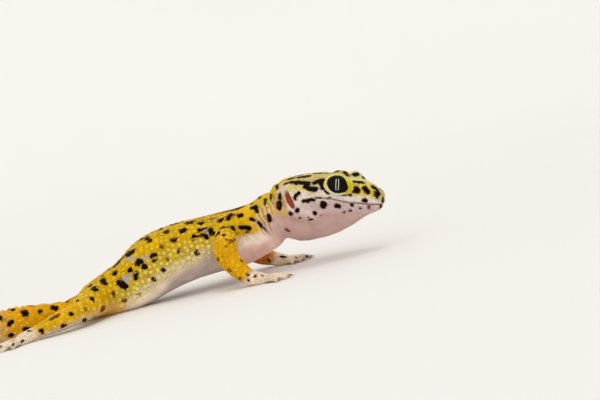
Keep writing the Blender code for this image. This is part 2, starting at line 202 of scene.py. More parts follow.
print("a circle in four steps:", np.round(full_circle(4), 2))


# %% Colours
def tint(red, green, blue):
    """A colour as a paint chart gives it, 0 to 255 a channel, as the linear light that shaders use."""
    share = np.array((red, green, blue)) / 255
    return np.where(share <= 0.04045, share / 12.92, ((share + 0.055) / 1.055) ** 2.4)


def shader_colour(colour):
    """A colour with the fourth value that a socket wants."""
    return (*(float(channel) for channel in colour), 1.0)


print("188 of 255 is this share of full light:", tint(188, 188, 188).round(2))

# %% Trees of nodes
class Tree:
    """Writes a tree of nodes. An input is a plain value or another node's output."""

    def __init__(self, tree):
        self.tree = tree

    def add(self, kind, inputs=(), **settings):
        """A node of this kind. Settings are its own properties, and inputs go by name or number."""
        node = self.tree.nodes.new(kind)
        for name, value in settings.items():
            setattr(node, name, value)
        return self.feed(node, inputs)

    def feed(self, node, inputs):
        """Sets or links a node's inputs, and hands the node back."""
        for name, value in dict(inputs).items():
            if isinstance(value, bpy.types.NodeSocket):
                self.tree.links.new(value, node.inputs[name])
            else:
                node.inputs[name].default_value = value
        return node

    def place(self):
        """Where a point lies on the object itself."""
        return self.add("ShaderNodeTexCoord").outputs["Object"]

    def stored(self, name, kind="Fac"):
        """An attribute of the mesh."""
        return self.add("ShaderNodeAttribute", attribute_name=name).outputs[kind]

    def noise(self, scale, detail, place):
        """A cloudy pattern of this many clouds to the metre."""
        inputs = {"Vector": place, "Scale": scale, "Detail": detail}
        return self.add("ShaderNodeTexNoise", inputs).outputs["Fac"]

    def math(self, operation, *values):
        """A sum, product or the like of one or two values."""
        return self.add("ShaderNodeMath", enumerate(values), operation=operation).outputs[0]

    def soft_step(self, value, low, high, out_low=0.0, out_high=1.0):
        """A soft step from out_low to out_high as the value goes from low to high."""
        inputs = {"Value": value, "From Min": low, "From Max": high, "To Min": out_low, "To Max": out_high}
        return self.add("ShaderNodeMapRange", inputs, interpolation_type="SMOOTHSTEP").outputs["Result"]

    def mixed(self, share, under, over_colour):
        """A colour laid over another by a share."""
        inputs = {"Factor": share, "A": under, "B": shader_colour(over_colour)}
        return self.add("ShaderNodeMix", inputs, data_type="RGBA").outputs["Result"]

    def valued(self, colour, value):
        """A colour made lighter or darker."""
        return self.add("ShaderNodeHueSaturation", {"Value": value, "Color": colour}).outputs["Color"]

    def ramp(self, value, *stops):
        """A colour looked up between two stops, each a place and a colour."""
        node = self.add("ShaderNodeValToRGB", {"Fac": value})
        for element, (place, colour) in zip(node.color_ramp.elements, stops):
            element.position, element.color = place, shader_colour(colour)
        return node.outputs["Color"]

    def bump(self, height, depth, strength=1.0, invert=False):
        """A relief this many millimetres deep."""
        inputs = {"Height": height, "Distance": depth * MM, "Strength": strength}
        return self.add("ShaderNodeBump", inputs, invert=invert).outputs["Normal"]


def new_material(name):
    """A material, its tree and its shader."""
    material = bpy.data.materials.new(name)
    material.use_nodes = True
    return material, Tree(material.node_tree), material.node_tree.nodes["Principled BSDF"]


print("helpers:", [name for name in vars(Tree) if not name.startswith("_")])

# %% [markdown]
# ## Floor and light
# The floor is one pale sheet that curves up behind the animal, as a roll of studio paper does, so there is
# no horizon. The light is soft: a bright sky all round, and two lamps so large and so far away that their
# light is the same all over the sheet. A third lamp is small, and gives the wet eye its one clear glint.

# %% Floor and backdrop in one sheet
FLOOR_HALF, FLOOR_BACK, BEND_RADIUS, WALL_TOP, BEND_STEPS = 2500.0, 260.0, 900.0, 2600.0, 24


def make_floor():
    """A flat sheet that turns up in a quarter circle at the back."""
    profile = [(-FLOOR_HALF, 0.0), (FLOOR_BACK, 0.0)]
    for step in range(1, BEND_STEPS + 1):
        angle = math.pi / 2 * step / BEND_STEPS
        profile.append((FLOOR_BACK + BEND_RADIUS * math.sin(angle), BEND_RADIUS * (1 - math.cos(angle))))
    profile.append((FLOOR_BACK + BEND_RADIUS, WALL_TOP))
    shape = bmesh.new()
    edges = (-FLOOR_HALF, FLOOR_HALF)
    bridge(shape, [[shape.verts.new((x * MM, y * MM, z * MM)) for x in edges] for y, z in profile])
    return piece_from(shape, "paper_floor")


def paper_material():
    """Warm white paper, with the faintest cloudiness so that it isn't one flat number."""
    material, tree, shader = new_material("pale paper")
    clouds = tree.noise(3.0, 2.0, tree.place())
    colour = tree.ramp(clouds, (0.0, tint(238, 236, 232)), (1.0, tint(245, 244, 242)))
    tree.feed(shader, {"Base Color": colour, "Roughness": 0.85, "Specular IOR Level": 0.1})
    return material


paper_floor = make_floor()
paper_floor.data.materials.append(paper_material())
print("floor sheet:", len(paper_floor.data.polygons), "faces")

# %% Lights
SKY_STRENGTH = 0.62
LAMPS = (
    # name, the way to it, strength, how wide it looks in degrees
    ("lamp_above", (-0.10, -0.10, 1.0), 0.50, 90),
    ("lamp_window", (0.19, -0.21, 0.96), 0.28, 11),
    ("lamp_front", (-0.10, -1.0, 0.62), 0.72, 80),
)
LAMP_DISTANCE = 500.0


def add_lamp(name, way, strength, width):
    """A lamp at a great distance that looks this wide from the floor."""
    lamp = bpy.data.lights.new(name, "SUN")
    lamp.energy, lamp.angle = strength, math.radians(width)
    made = bpy.data.objects.new(name, lamp)
    made.location = Vector((body_zero + unit(way) * LAMP_DISTANCE) * MM)
    made.rotation_euler = Vector(unit(way)).to_track_quat("Z", "Y").to_euler()
    bpy.context.scene.collection.objects.link(made)


for lamp in LAMPS:
    add_lamp(*lamp)
sky = bpy.data.worlds.new("bright room")
sky.use_nodes = True
room = {"Color": shader_colour(tint(255, 252, 248)), "Strength": SKY_STRENGTH}
Tree(sky.node_tree).feed(sky.node_tree.nodes["Background"], room)
bpy.context.scene.world = sky
bpy.context.scene.view_settings.view_transform = "Standard"
print("lamps:", len(LAMPS))


# %% [markdown]
# ## The skin's first shape
# The real skin is one loose, continuous coat, but the solids are parted by thin cuts. To close them, a copy
# of each solid is swollen by a little more than half a cut, the copies are melted together by a voxel
# remesh, and the result is shrunk again. The remesh leaves small steps and the solids leave facets, so the
# points are then evened out in a way that keeps the volume: each pass moves them towards their neighbours'
# mean, and the next one moves them back a bit further. Toes get fewer passes than the trunk, because they
# would wear away.

# %% Points, normals and neighbours of a mesh as arrays
def read(data, field, width=1, kind=np.float32):
    """One value, or a row of as many as width, for each item of a mesh's data."""
    flat = np.empty(len(data) * width, kind)
    data.foreach_get(field, flat)
    return flat if width == 1 else flat.reshape(-1, width)


def points_of(mesh):
    """A mesh's points in millimetres."""
    return read(mesh.vertices, "co", 3).astype(float) / MM


def move_points(mesh, points):
    """Puts a mesh's points at these places, given in millimetres."""
    mesh.vertices.foreach_set("co", (points * MM).astype(np.float32).ravel())
    mesh.update()


def normals_of(mesh):
    """The direction that the surface faces at each point."""
    return read(mesh.vertex_normals, "vector", 3).astype(float)


class Neighbours:
    """Averages values over each point's direct neighbours."""

    def __init__(self, mesh):
        self.ends = read(mesh.edges, "vertices", 2, np.int32)
        self.size = len(mesh.vertices)
        self.count = np.maximum(np.bincount(self.ends.ravel(), minlength=self.size), 1)

    def mean(self, values):
        """The mean of each point's neighbours."""
        one, other = self.ends.T
        columns = values.reshape(self.size, -1).T
        sums = [
            np.bincount(one, column[other], self.size) + np.bincount(other, column[one], self.size)
            for column in columns
        ]
        return (np.stack(sums, 1) / self.count[:, None]).reshape(values.shape)

    def softened(self, values, rounds):
        """Values spread a little into their surroundings, this many times over."""
        for _ in range(rounds):
            values = 0.5 * values + 0.5 * self.mean(values)
        return values

    def evened(self, points, share, rounds, there=0.5, back=-0.52):
        """Points moved towards their neighbours' mean and back again. share says how much each takes part."""
        for _ in range(rounds):
            for step in (there, back):
                points = points + (self.mean(points) - points) * (step * share)[:, None]
        return points


def applied(piece, name):
    """The piece's mesh as its modifiers leave it, as a new plain object. The first one goes."""
    graph = bpy.context.evaluated_depsgraph_get()
    mesh = bpy.data.meshes.new_from_object(piece.evaluated_get(graph))
    bpy.data.objects.remove(piece)
    mesh.name = name
    return new_piece(name, mesh)


print("corners of the trunk's solid:", len(points_of(frame["nodes"]["trunk"].data)))

# %% Swell the solids and melt them into one
SWELL, VOXEL = 0.3, 0.2
SAME_PLACE = 1e-6  # in metres


def swollen_solids(names):
    """One mesh of all these solids, each grown outwards by SWELL."""
    together = bmesh.new()
    for name in names:
        solid = bmesh.new()
        solid.from_mesh(frame["nodes"][name].data)
        bmesh.ops.remove_doubles(solid, verts=solid.verts, dist=SAME_PLACE)
        solid.normal_update()
        places = [vert.co + vert.normal * SWELL * MM for vert in solid.verts]
        for vert, place in zip(solid.verts, places):
            vert.co = place
        grown = bpy.data.meshes.new("grown")
        solid.to_mesh(grown)
        solid.free()
        together.from_mesh(grown)
        bpy.data.meshes.remove(grown)
    return piece_from(together, "swollen")


EYES_AND_EARS = [f"{part}_{side}" for part in ("eye", "ear") for side in SIDES]
swollen = swollen_solids(FLESH + EYES_AND_EARS)
melt = swollen.modifiers.new("melt", "REMESH")
melt.mode = "VOXEL"
melt.voxel_size = VOXEL * MM
skin = applied(swollen, "gecko_skin")
print("melted skin:", len(skin.data.vertices), "points")

# %% Which solid lies under each point
def nearest_solid(points):
    """For each point, the index in FLESH of the solid that lies nearest."""
    corners, triangles, owners = [], [], []
    for index, name in enumerate(FLESH):
        mesh = frame["nodes"][name].data
        base = len(corners)
        corners += [vert.co / MM for vert in mesh.vertices]
        triangles += [[base + i for i in face.vertices] for face in mesh.polygons]
        owners += [index] * len(mesh.polygons)
    tree = BVHTree.FromPolygons(corners, triangles)
    return np.array([owners[tree.find_nearest(point)[2]] for point in points])


owner = nearest_solid(points_of(skin.data))


def over(*starts):
    """1 at the skin's points over solids whose names start with one of these words, and 0 elsewhere."""
    wanted = [index for index, name in enumerate(FLESH) if name.startswith(starts)]
    return np.isin(owner, wanted).astype(float)


print("points over the head:", int(over("head", "lower_jaw").sum()))

# %% Even it out and shrink it under the coat
around = Neighbours(skin.data)
hands_and_feet = around.softened(over("hand", "foot"), 20)
head_share = around.softened(over("head", "lower_jaw"), 20)
tail_end = around.softened(over("tail_tip"), 20)

points = points_of(skin.data)
calm = 1 - 0.93 * hands_and_feet - 0.6 * head_share - 0.5 * tail_end
points = around.evened(points, calm, 90)
points = around.evened(points, np.full(len(points), 0.9), 4)
move_points(skin.data, points)

COAT_DEPTH = (
    # how tall the scales are, and where
    (0.32, "trunk"), (0.34, "tail"), (0.2, "neck", *ARM, *LEG), (0.06, "head"),
)
FLOOR_GAP = 0.02
depth = sum(tall * over(*places) for tall, *places in COAT_DEPTH)
depth = around.softened(depth, 25) * np.clip(points[:, 2] / 3.0, 0.1, 1.0)
points = points - around.softened(normals_of(skin.data), 3) * (SWELL + depth)[:, None]
points = around.evened(points, calm, 6)
points[:, 2] = np.maximum(points[:, 2], FLOOR_GAP)
move_points(skin.data, points)
print("skin box:", points.min(0).round(2), points.max(0).round(2))


# %% [markdown]
# ## Finding a place on the skin
# A mark or a fold is written as the animal is seen from its side: so far forwards, so far up. A straight
# line from the side then finds the place on the skin. The head has its own such view, in its own axes, and
# the rest of the body is seen in the body's axes. The other side of the animal is the same view from the
# other side.

# %% Dropping points on to the skin
def smoothstep(low, high, values):
    """0 below low, 1 above high, and a soft S between them."""
    share = np.clip((values - low) / (high - low), 0, 1)
    return share * share * (3 - 2 * share)


def stretch(start, full, falls, end, values):
    """A stretch of the values: it rises softly from start to full, and dies away from falls to end."""
    return smoothstep(start, full, values) * (1 - smoothstep(falls, end, values))


def bell(distance, reach):
    """1 at no distance, and dying away on both sides over about this reach."""
    return np.exp(-((distance / reach) ** 2))


skin_tree = BVHTree.FromObject(skin, bpy.context.evaluated_depsgraph_get())


def drop(start, direction):
    """Where a straight line first meets the skin, or the skin's nearest place if it passes by."""
    hit = skin_tree.ray_cast(Vector(start * MM), Vector(direction))[0]
    if hit is None:
        depth_of_axis = abs(float(np.dot(start - body_zero, unit(direction))))
        hit = skin_tree.find_nearest(Vector((start + unit(direction) * depth_of_axis) * MM))[0]
    return np.array(hit) / MM


CLEAR_OF_HEAD, CLEAR_OF_BODY = 30.0, 60.0  # how far out the lines start


def on_head(x, z, side):
    """The place on one side of the head at x forwards and z up in the head's axes."""
    return drop(from_head((x, side * CLEAR_OF_HEAD, z))[0], -side * head_left)


def on_top(x, y, side):
    """The place on top of the head at x forwards and y out to this side of its middle."""
    return drop(from_head((x, side * y, CLEAR_OF_HEAD))[0], -head_up)


def on_body(x, z, side):
    """The place on one side of the body at x forwards and z up from the body's zero point."""
    return drop(body_zero + np.array((x, side * CLEAR_OF_BODY, z)), np.array((0.0, -side, 0.0)))


def capsule_chain(centres, radii, places):
    """How deep each place lies inside a chain of balls that are joined by cones. Negative means outside."""
    if len(centres) == 1:
        return radii[0] - np.linalg.norm(places - centres[0], axis=1)
    best = np.full(len(places), -np.inf)
    for start, end, r0, r1 in zip(centres, centres[1:], radii, radii[1:]):
        along = end - start
        length = max(float(along @ along), 1e-6)
        share = np.clip((places - start) @ along / length, 0, 1)
        gap = np.linalg.norm(places - start - share[:, None] * along, axis=1)
        best = np.maximum(best, r0 + (r1 - r0) * share - gap)
    return best


print("the crown of the head is at", on_top(0.0, 0.0, RIGHT).round(2))

# %% [markdown]
# ## Eyelids
# This gecko has real lids, which stand round the eye as a smooth raised ring. The opening is an almond,
# rounded behind and drawn to a point in front. The skin follows the eyeball at a height that depends only
# on how far a point lies outside the almond, counted along the ball: under the ball inside it, up a steep
# wall at its edge, over the rounded rim, down into a shallow furrow and out on to the brow.
#
# The ball itself is larger than the eye's solid and lies deeper, so that its front is in the same place but
# flatter, and fills the whole opening.

# %% The eye's own axes and its almond opening
EYE_AXIS = unit((0.17, 0.86, 0.475))
BALL_RADII = np.array((3.6, 3.35, 3.3))
BALL_SUNK = 0.60
BALL_PLACE = EYE_PLACE - EYE_AXIS * BALL_SUNK
EYE_FORWARD = unit(np.array((1.0, 0, 0)) - EYE_AXIS * EYE_AXIS[0])
EYE_UP = np.cross(EYE_FORWARD, EYE_AXIS)
OPENING = (3.16, 2.76)  # half its length and half its height
CORNER_DROP = math.radians(8)  # the front corner points a little down
CORNER_POINT = 0.20  # how far it is drawn out


def mirrored(local):
    """Points in the head's axes, all brought to its left side."""
    return local * (1, 0, 1) + np.abs(local) * (0, 1, 0)


def almond_radius(angle):
    """How far the opening reaches from the eye's axis in this direction."""
    oval = 1 / np.sqrt((np.cos(angle) / OPENING[0]) ** 2 + (np.sin(angle) / OPENING[1]) ** 2)
    return oval * (1 + CORNER_POINT * np.maximum(0, np.cos(angle + CORNER_DROP)) ** 8)


def eye_view(local):
    """For points in the head's axes: forward, up and out from the eye, and distance from the almond."""
    from_eye = mirrored(local) - BALL_PLACE
    ahead, above, out = from_eye @ EYE_FORWARD, from_eye @ EYE_UP, from_eye @ EYE_AXIS
    sideways, turn = np.hypot(ahead, above), np.arctan2(above, ahead)
    edge = almond_radius(turn)
    to_the_side = np.cos(turn)[:, None] * EYE_FORWARD + np.sin(turn)[:, None] * EYE_UP
    ball = 1 / np.linalg.norm(to_the_side / BALL_RADII, axis=1)
    along_ball = ball * (np.arctan2(sideways, out) - np.arcsin(np.clip(edge / ball, 0, 0.98)))
    return ahead, above, out, np.maximum(along_ball, sideways - edge)


print("eye opening:", 2 * OPENING[0], "long and", 2 * OPENING[1], "high, with a corner in front")

# %% Last changes to the head's form
BROW_X, BROW_Y, BROW_HEIGHT = 7.6, 2.8, 1.45
BROW_BEHIND, BROW_AHEAD, BROW_ACROSS = 1.95, 2.5, 1.35  # how far it reaches each way
HOLLOW_X, HOLLOW_Y, HOLLOW_DEPTH = 8.2, -0.3, 0.75  # between the brows
HOLLOW_ALONG, HOLLOW_ACROSS = 2.2, 1.1
SNOUT_FLATTER = ((0.35, 8.8, 11.0), (0.50, 13.2, 15.4))  # how much lower, from where, and fully from where
CHIN_FORWARD, CHIN_DOWN = 0.45, 0.25
HEAD_REACH = 20.0  # nothing farther from the head's zero point moves


def shape_head(points):
    """Flattens the top of the snout, fills the chin, and raises the left brow, which shows over the crown."""
    local = in_head(points)
    x, y, z = local.T
    flatter = sum(lower * smoothstep(start, full, x) for lower, start, full in SNOUT_FLATTER)
    flatter = flatter * smoothstep(2.4, 4.4, z)
    on_crown = smoothstep(3.6, 5.2, z)
    brow = bell(x - BROW_X, np.where(x < BROW_X, BROW_BEHIND, BROW_AHEAD)) * bell(y - BROW_Y, BROW_ACROSS)
    hollow = bell(x - HOLLOW_X, HOLLOW_ALONG) * bell(y - HOLLOW_Y, HOLLOW_ACROSS)
    raised = (BROW_HEIGHT * brow - HOLLOW_DEPTH * hollow) * on_crown
    chin = smoothstep(11.5, 14.6, x) * (1 - smoothstep(-1.0, 0.0, z))
    shift = np.column_stack((CHIN_FORWARD * chin, np.zeros(len(x)), raised - flatter - CHIN_DOWN * chin))
    return np.where((np.abs(x) < HEAD_REACH)[:, None], from_head(local + shift), points)


points = shape_head(points)
print("highest point of the head, in its own axes:", in_head(points)[head_share > 0.5, 2].max().round(2))


# %% Shape the lids
LID_PROFILE = (
    # distance outside the opening, height over the eyeball
    (-0.60, -0.90), (-0.20, -0.50), (0.0, 0.0), (0.12, 0.24), (0.30, 0.36), (0.50, 0.34), (0.75, 0.20),
    (1.2, 0.42),
)
LID_REACH = 6.0  # nothing farther from the ball's middle moves


def shape_lids(points):
    """Moves the skin round both eyes to the lids' profile, along lines from the eye's centre."""
    local = in_head(points)
    _, _, out, outside = eye_view(local)
    from_eye = mirrored(local) - BALL_PLACE
    reach = np.maximum(np.linalg.norm(from_eye, axis=1), 1e-6)
    directions = from_eye / reach[:, None]
    ball = 1 / np.linalg.norm(directions / BALL_RADII, axis=1)
    distance, height = zip(*LID_PROFILE)
    wanted = ball + np.interp(outside, distance, height)
    share = (1 - smoothstep(0.8, 1.6, outside)) * smoothstep(0.0, 0.6, out) * (reach < LID_REACH)
    moved = BALL_PLACE + directions * (reach + (wanted - reach) * share)[:, None]
    moved[:, 1] *= np.sign(local[:, 1])
    return np.where((share > 0)[:, None], from_head(moved), points)


points = shape_lids(points)
print("points of the skin on the lids and in the openings:", int((eye_view(in_head(points))[3] < 0.5).sum()))

# %% [markdown]
# ## Mouth, nostrils, ears and folds
# The mouth is a long closed line with a full upper lip that hangs a little over the lower one. The nostrils
# are small pits near the tip of the snout. Each ear is an open slit with the drum at its bottom. The loose
# skin of the neck folds in front of the shoulder. All of these are furrows: lines or dots on the skin, each
# with its width and depth, pressed in along the skin's normals.

# %% Press furrows into the skin
MOUTH_LINE = ((-0.4, 0.85), (3.15, 0.77), (7.6, 0.26), (12.1, 0.14), (15.6, 0.12))
NOSTRIL = (14.55, 3.3)
EAR_SLIT = ((-8.5, 0.9), (-7.5, -0.8), (-6.1, -2.5))
HEAD_FOLDS = (
    # depth, half width, places
    (0.30, 0.45, ((-9.9, 2.6), (-10.1, 0.2), (-9.4, -2.4), (-8.1, -4.4))),
    (0.22, 0.50, ((-12.2, 2.4), (-12.4, -0.8), (-12.1, -4.6), (-11.4, -7.2))),
    (0.22, 0.55, ((-14.4, 1.0), (-14.6, -2.4), (-14.4, -6.0))),
    (0.18, 0.50, ((-1.0, -0.4), (-3.6, -1.3), (-5.2, -2.8))),
    (0.16, 0.60, ((-6.4, -5.8), (-4.0, -6.6), (-1.5, -6.8))),
)
BODY_FOLDS = (
    (0.45, 0.40, ((4.3, 15.6), (5.7, 14.3), (7.4, 11.2), (8.1, 9.4), (8.6, 7.8))),
    (0.28, 0.30, ((7.1, 18.3), (7.6, 16.1), (8.0, 13.4), (8.5, 11.1))),
    (0.22, 0.28, ((5.9, 17.0), (6.9, 14.8), (7.7, 12.4))),
    (0.35, 0.50, ((1.6, 14.6), (2.9, 12.2), (4.6, 9.6))),
    (0.30, 0.55, ((-5.6, 13.4), (-5.9, 11.0), (-5.0, 8.8))),
    (0.20, 0.60, ((-8.6, 11.6), (-9.4, 8.6), (-9.2, 6.2))),
    (0.25, 0.50, ((-30.2, 9.4), (-31.4, 6.4), (-30.8, 3.2))),
    (0.25, 0.35, ((-4.9, 8.9), (-3.4, 8.4), (-2.2, 8.8))),
)
LIP_PROFILE = (
    # how far out, how far above the mouth's line, half width: the furrow, the upper lip and the lower lip
    (-0.55, 0.0, 0.20), (0.16, 0.55, 0.35), (0.07, -0.5, 0.35),
)
NOSTRIL_RIM, NOSTRIL_PIT = (-0.22, 0.75), (0.75, 0.30)  # depth and half width
STREAK_GAP, STREAK_DEPTH = 1.15, 0.07  # from one fine fold of the neck to the next


def neck_wave(points, normals):
    """The fine upright folds of the neck: a wave across them, and where on the neck's sides they are."""
    x, _, z = in_body(points).T
    across = x + 0.24 * (z - 14.0) + 0.14 * np.sin(1.7 * z)
    on_neck = stretch(4.6, 6.2, 11.6, 13.2, x) * stretch(9.8, 12.2, 19.6, 21.6, z)
    on_side = over("neck", "trunk") * (1 - smoothstep(0.45, 0.80, normals[:, 2]))
    return np.cos(2 * np.pi * across / STREAK_GAP), on_neck * on_side


def furrow(points, normals, centres, depth, half_width):
    """The skin with one soft furrow pressed in along a line of places."""
    gap = capsule_chain(centres, [0.0] * len(centres), points)
    return points - normals * (depth * bell(gap, half_width))[:, None]


def mouth_height(x):
    """How high the closed mouth lies at x in the head's axes."""
    return np.interp(x, *zip(*MOUTH_LINE))


def shape_mouth(points, normals):
    """The closed mouth: a sharp furrow, an upper lip that stands out and a softer lower lip."""
    local = in_head(points)
    above = local[:, 2] - mouth_height(local[:, 0])
    share = smoothstep(-0.6, 0.8, local[:, 0]) * (np.abs(above) < 3)
    push = sum(out * bell(above - place, half_width) for out, place, half_width in LIP_PROFILE)
    return points + normals * (push * share)[:, None]


normals = around.softened(normals_of(skin.data), 2)
points = shape_mouth(points, normals)
wave, on_neck = neck_wave(points, normals)
points = points - normals * (STREAK_DEPTH * wave * on_neck)[:, None]
nostril_rows = [(*shape, (NOSTRIL,)) for shape in (NOSTRIL_RIM, NOSTRIL_PIT)]
for side in SIDES.values():
    for rows, place_on in ((nostril_rows, on_head), (HEAD_FOLDS, on_head), (BODY_FOLDS, on_body)):
        for depth, half_width, places in rows:
            centres = [place_on(x, z, side) for x, z in places]
            points = furrow(points, normals, centres, depth, half_width)
print("furrows pressed in:", len(SIDES) * (len(nostril_rows) + len(HEAD_FOLDS) + len(BODY_FOLDS)))

# %% Open the ears
EAR_RADII = (0.70, 0.84, 0.56)
EAR_SINK, EAR_RIM = 0.75, 0.18
RIM_OUTSIDE, RIM_HALF_WIDTH = 0.45, 0.3
ear_lines = {name: [on_head(x, z, side) for x, z in EAR_SLIT] for name, side in SIDES.items()}
for line in ear_lines.values():
    inside = capsule_chain(line, EAR_RADII, points)
    sink = EAR_SINK * smoothstep(-0.12, 0.22, inside)
    rim = EAR_RIM * bell(inside + RIM_OUTSIDE, RIM_HALF_WIDTH)
    points = points + normals * (rim - sink)[:, None]
points[:, 2] = np.maximum(points[:, 2], FLOOR_GAP)
move_points(skin.data, points)
print("ears opened:", len(ear_lines))


# %% [markdown]
# ## Claws
# Each of the twenty digits ends in a small curved claw. The claw's tip is the point of a hand or foot that
# lies farthest from its middle of all the points near it, and because the digits are spread, that test
# finds all five. The skin is drawn back from the claw, which becomes a piece of its own.

# %% Find the digits and draw the skin back from the claws
DIGITS, NEAR_TIP = 5, 1.7
BEHIND_TIP = (1.2, 2.4)  # the part of a digit that gives its direction lies this far from the tip
PALM_TO_WRIST = 0.25
CLAW, DRAWN_BACK, DRAW_REACH = 1.15, 0.85, 2.2


def claw_tips(node):
    """The tips of the five digits of a hand or foot, and the directions they point in."""
    corners = points_of(frame["nodes"][node].data)
    limb = "forearm" if node.startswith("hand") else "shin"
    wrist = middle_of(node.replace("hand", limb).replace("foot", limb))
    palm = (corners.max(0) + corners.min(0)) / 2
    palm = palm + (wrist - palm) * PALM_TO_WRIST
    flat = corners[:, :2]
    far = np.linalg.norm(flat - palm[:2], axis=1)
    ahead = (flat - palm[:2]) @ unit((palm - wrist)[:2]) > 0
    found = []
    for index in np.argsort(-far):
        gap = np.linalg.norm(flat - flat[index], axis=1)
        if ahead[index] and far[index] >= far[gap < NEAR_TIP].max() - 1e-6:
            behind = corners[(gap > BEHIND_TIP[0]) & (gap < BEHIND_TIP[1])].mean(0)
            if all(np.linalg.norm(flat[index] - other[:2]) > NEAR_TIP for other, _ in found):
                found.append((corners[index], unit((corners[index] - behind) * (1, 1, 0))))
    return found[:DIGITS]


def draw_back(points, tip, direction):
    """Squeezes the skin over a claw back to the end of the digit's pad."""
    ahead = (points - tip) @ direction
    near = (ahead > -CLAW) & (np.linalg.norm(points - tip, axis=1) < DRAW_REACH)
    return points - near[:, None] * direction * ((ahead + CLAW) * DRAWN_BACK)[:, None]


claws = {node: claw_tips(node) for node in FLESH if node.startswith(("hand", "foot"))}
for tips in claws.values():
    for tip, direction in tips:
        points = draw_back(points, tip, direction)
move_points(skin.data, points)
print("claws found:", {node: len(tips) for node, tips in claws.items()})

# %% [markdown]
# ## Fewer faces where the skin is smooth
# The melted skin has far more faces than the export allows for one piece. Decimate takes faces away, and a
# vertex group tells it where it may: much from the trunk and the tail, which the tubercles cover, and
# little from the head and the hands, where the lids, the lips and the toes need every point.

# %% Decimate by weight
MOST_TRIANGLES = 188_000
thin_out = skin.vertex_groups.new(name="thin out here")
freedom = np.clip(1 - 0.9 * head_share - 0.6 * hands_and_feet, 0.05, 1).round(2)
for level in np.unique(freedom):
    thin_out.add(np.flatnonzero(freedom == level).tolist(), float(level), "REPLACE")
fewer = skin.modifiers.new("fewer", "DECIMATE")
fewer.ratio = MOST_TRIANGLES / sum(len(face.vertices) - 2 for face in skin.data.polygons)
fewer.vertex_group = thin_out.name
fewer.vertex_group_factor = 3.0
skin.modifiers.new("triangles", "TRIANGULATE")
skin = applied(skin, "gecko_skin")
skin.data.shade_smooth()
points = points_of(skin.data)
owner = nearest_solid(points)
around = Neighbours(skin.data)
normals = normals_of(skin.data)
skin_tree = BVHTree.FromObject(skin, bpy.context.evaluated_depsgraph_get())
print("skin:", len(skin.data.polygons), "triangles")


# %% [markdown]
# ## The markings
# A leopard gecko is yellow with black spots. Some spots are joined or lie round a paler lavender patch, and
# the smaller ones are brown. Each mark is a short chain of round dots on the skin with a half width, and
# what is kept at each point of the skin is how far it lies inside the nearest mark, in millimetres. A
# shader can then draw a crisp, slightly ragged edge at any scale. The tubercles carry the same three
# numbers, so that a spot runs on over them.

# %% Marks on the head
HEAD_BLACK = (
    # half width, places along the mark
    (0.42, (-9.4, 2.9), (-8.6, 3.3)),
    (0.66, (-7.8, 3.6), (-5.9, 3.85), (-4.4, 3.95), (-3.3, 4.0)),
    (0.52, (-3.6, 3.2), (-2.2, 2.75), (-0.9, 2.95)),
    (0.52, (-1.5, 4.3), (-0.4, 4.9), (0.45, 5.05)),
    (0.55, (0.1, 4.6), (0.35, 4.1), (0.7, 3.4)),
    (0.30, (1.6, 2.6), (2.4, 2.2)),
    (0.30, (8.3, 5.6), (9.4, 5.35), (10.4, 5.3)),
    (0.78, (8.3, 3.5), (9.3, 3.5)),
    (0.64, (11.1, 4.0), (11.9, 3.3)),
    (0.58, (13.1, 4.3), (13.8, 3.95), (14.3, 3.6)),
    (0.54, (14.4, 3.3), (14.6, 2.6)),
    (0.30, (14.5, 2.4), (14.4, 1.9)),
    (0.40, (15.75, 1.5), (15.8, 0.9)),
    (0.36, (15.5, -0.2), (15.4, -0.5)),
    (0.34, (11.3, 1.0), (11.7, 1.0)),
    (0.28, (5.7, 2.3), (6.6, 2.15), (7.8, 2.2)),
    (0.38, (-5.1, 1.4), (-5.8, 0.7)),
    (0.20, (-5.9, 0.2), (-5.8, -0.2)),
    (0.28, (-3.6, -0.45), (-2.4, -0.05), (-1.2, 0.2)),
    (0.46, (-2.5, -0.15),),
    (0.85, (1.5, -0.85),),
    (0.46, (4.75, -0.9), (5.25, -0.95)),
    (0.28, (8.5, -0.25),),
    (0.22, (7.95, -1.85), (8.3, -1.85)),
    (0.20, (6.7, -2.4),),
    (0.12, (10.5, -1.1), (10.7, -1.1)),
    (0.42, (-0.45, -3.2),),
    (0.10, (1.05, -3.7),),
    (0.14, (-1.45, -5.05), (-1.1, -5.05)),
    (0.08, (-1.9, -4.5),),
    (0.08, (-4.1, -4.9),),
    (0.50, (-6.6, -3.95),),
    (0.40, (-5.0, -3.1), (-4.8, -2.9)),
    (0.60, (-10.2, -3.2), (-10.25, -2.0)),
    (0.20, (-12.7, -1.1), (-12.7, -0.4)),
    (0.22, (-10.1, -0.8), (-10.15, 0.25)),
    (0.38, (-12.75, -5.7), (-12.3, -6.7)),
    (0.26, (-11.9, 2.0), (-11.2, 1.4)),
)
TOP_BLACK = (
    # the same, seen from above: places forwards and out to the side
    (0.80, (-6.1, 2.8), (-5.0, 3.2), (-4.1, 2.9)),
    (0.66, (-8.8, 2.5), (-8.2, 2.3)),
    (0.75, (-2.1, 0.6), (-1.3, 0.4)),
    (0.50, (0.3, 0.5),),
    (0.60, (2.2, -0.5),),
    (0.36, (2.0, -3.2), (2.6, -3.0)),
    (0.40, (4.6, -2.4), (5.3, -1.2)),
    (0.36, (5.7, -0.3), (5.9, 0.6)),
    (0.60, (-4.4, -1.4), (-3.4, -1.1)),
    (0.60, (-7.4, -0.2), (-6.6, -0.7)),
    (0.62, (-6.4, -2.9), (-5.2, -3.2)),
    (0.55, (-2.4, -3.2), (-1.4, -2.6)),
)
FAR_BROW_BLACK = (
    # on the left brow, where it faces the right side
    (0.50, (7.2, -1.2), (8.1, -1.4)),
    (0.28, (9.7, -1.4), (9.8, -1.9)),
)
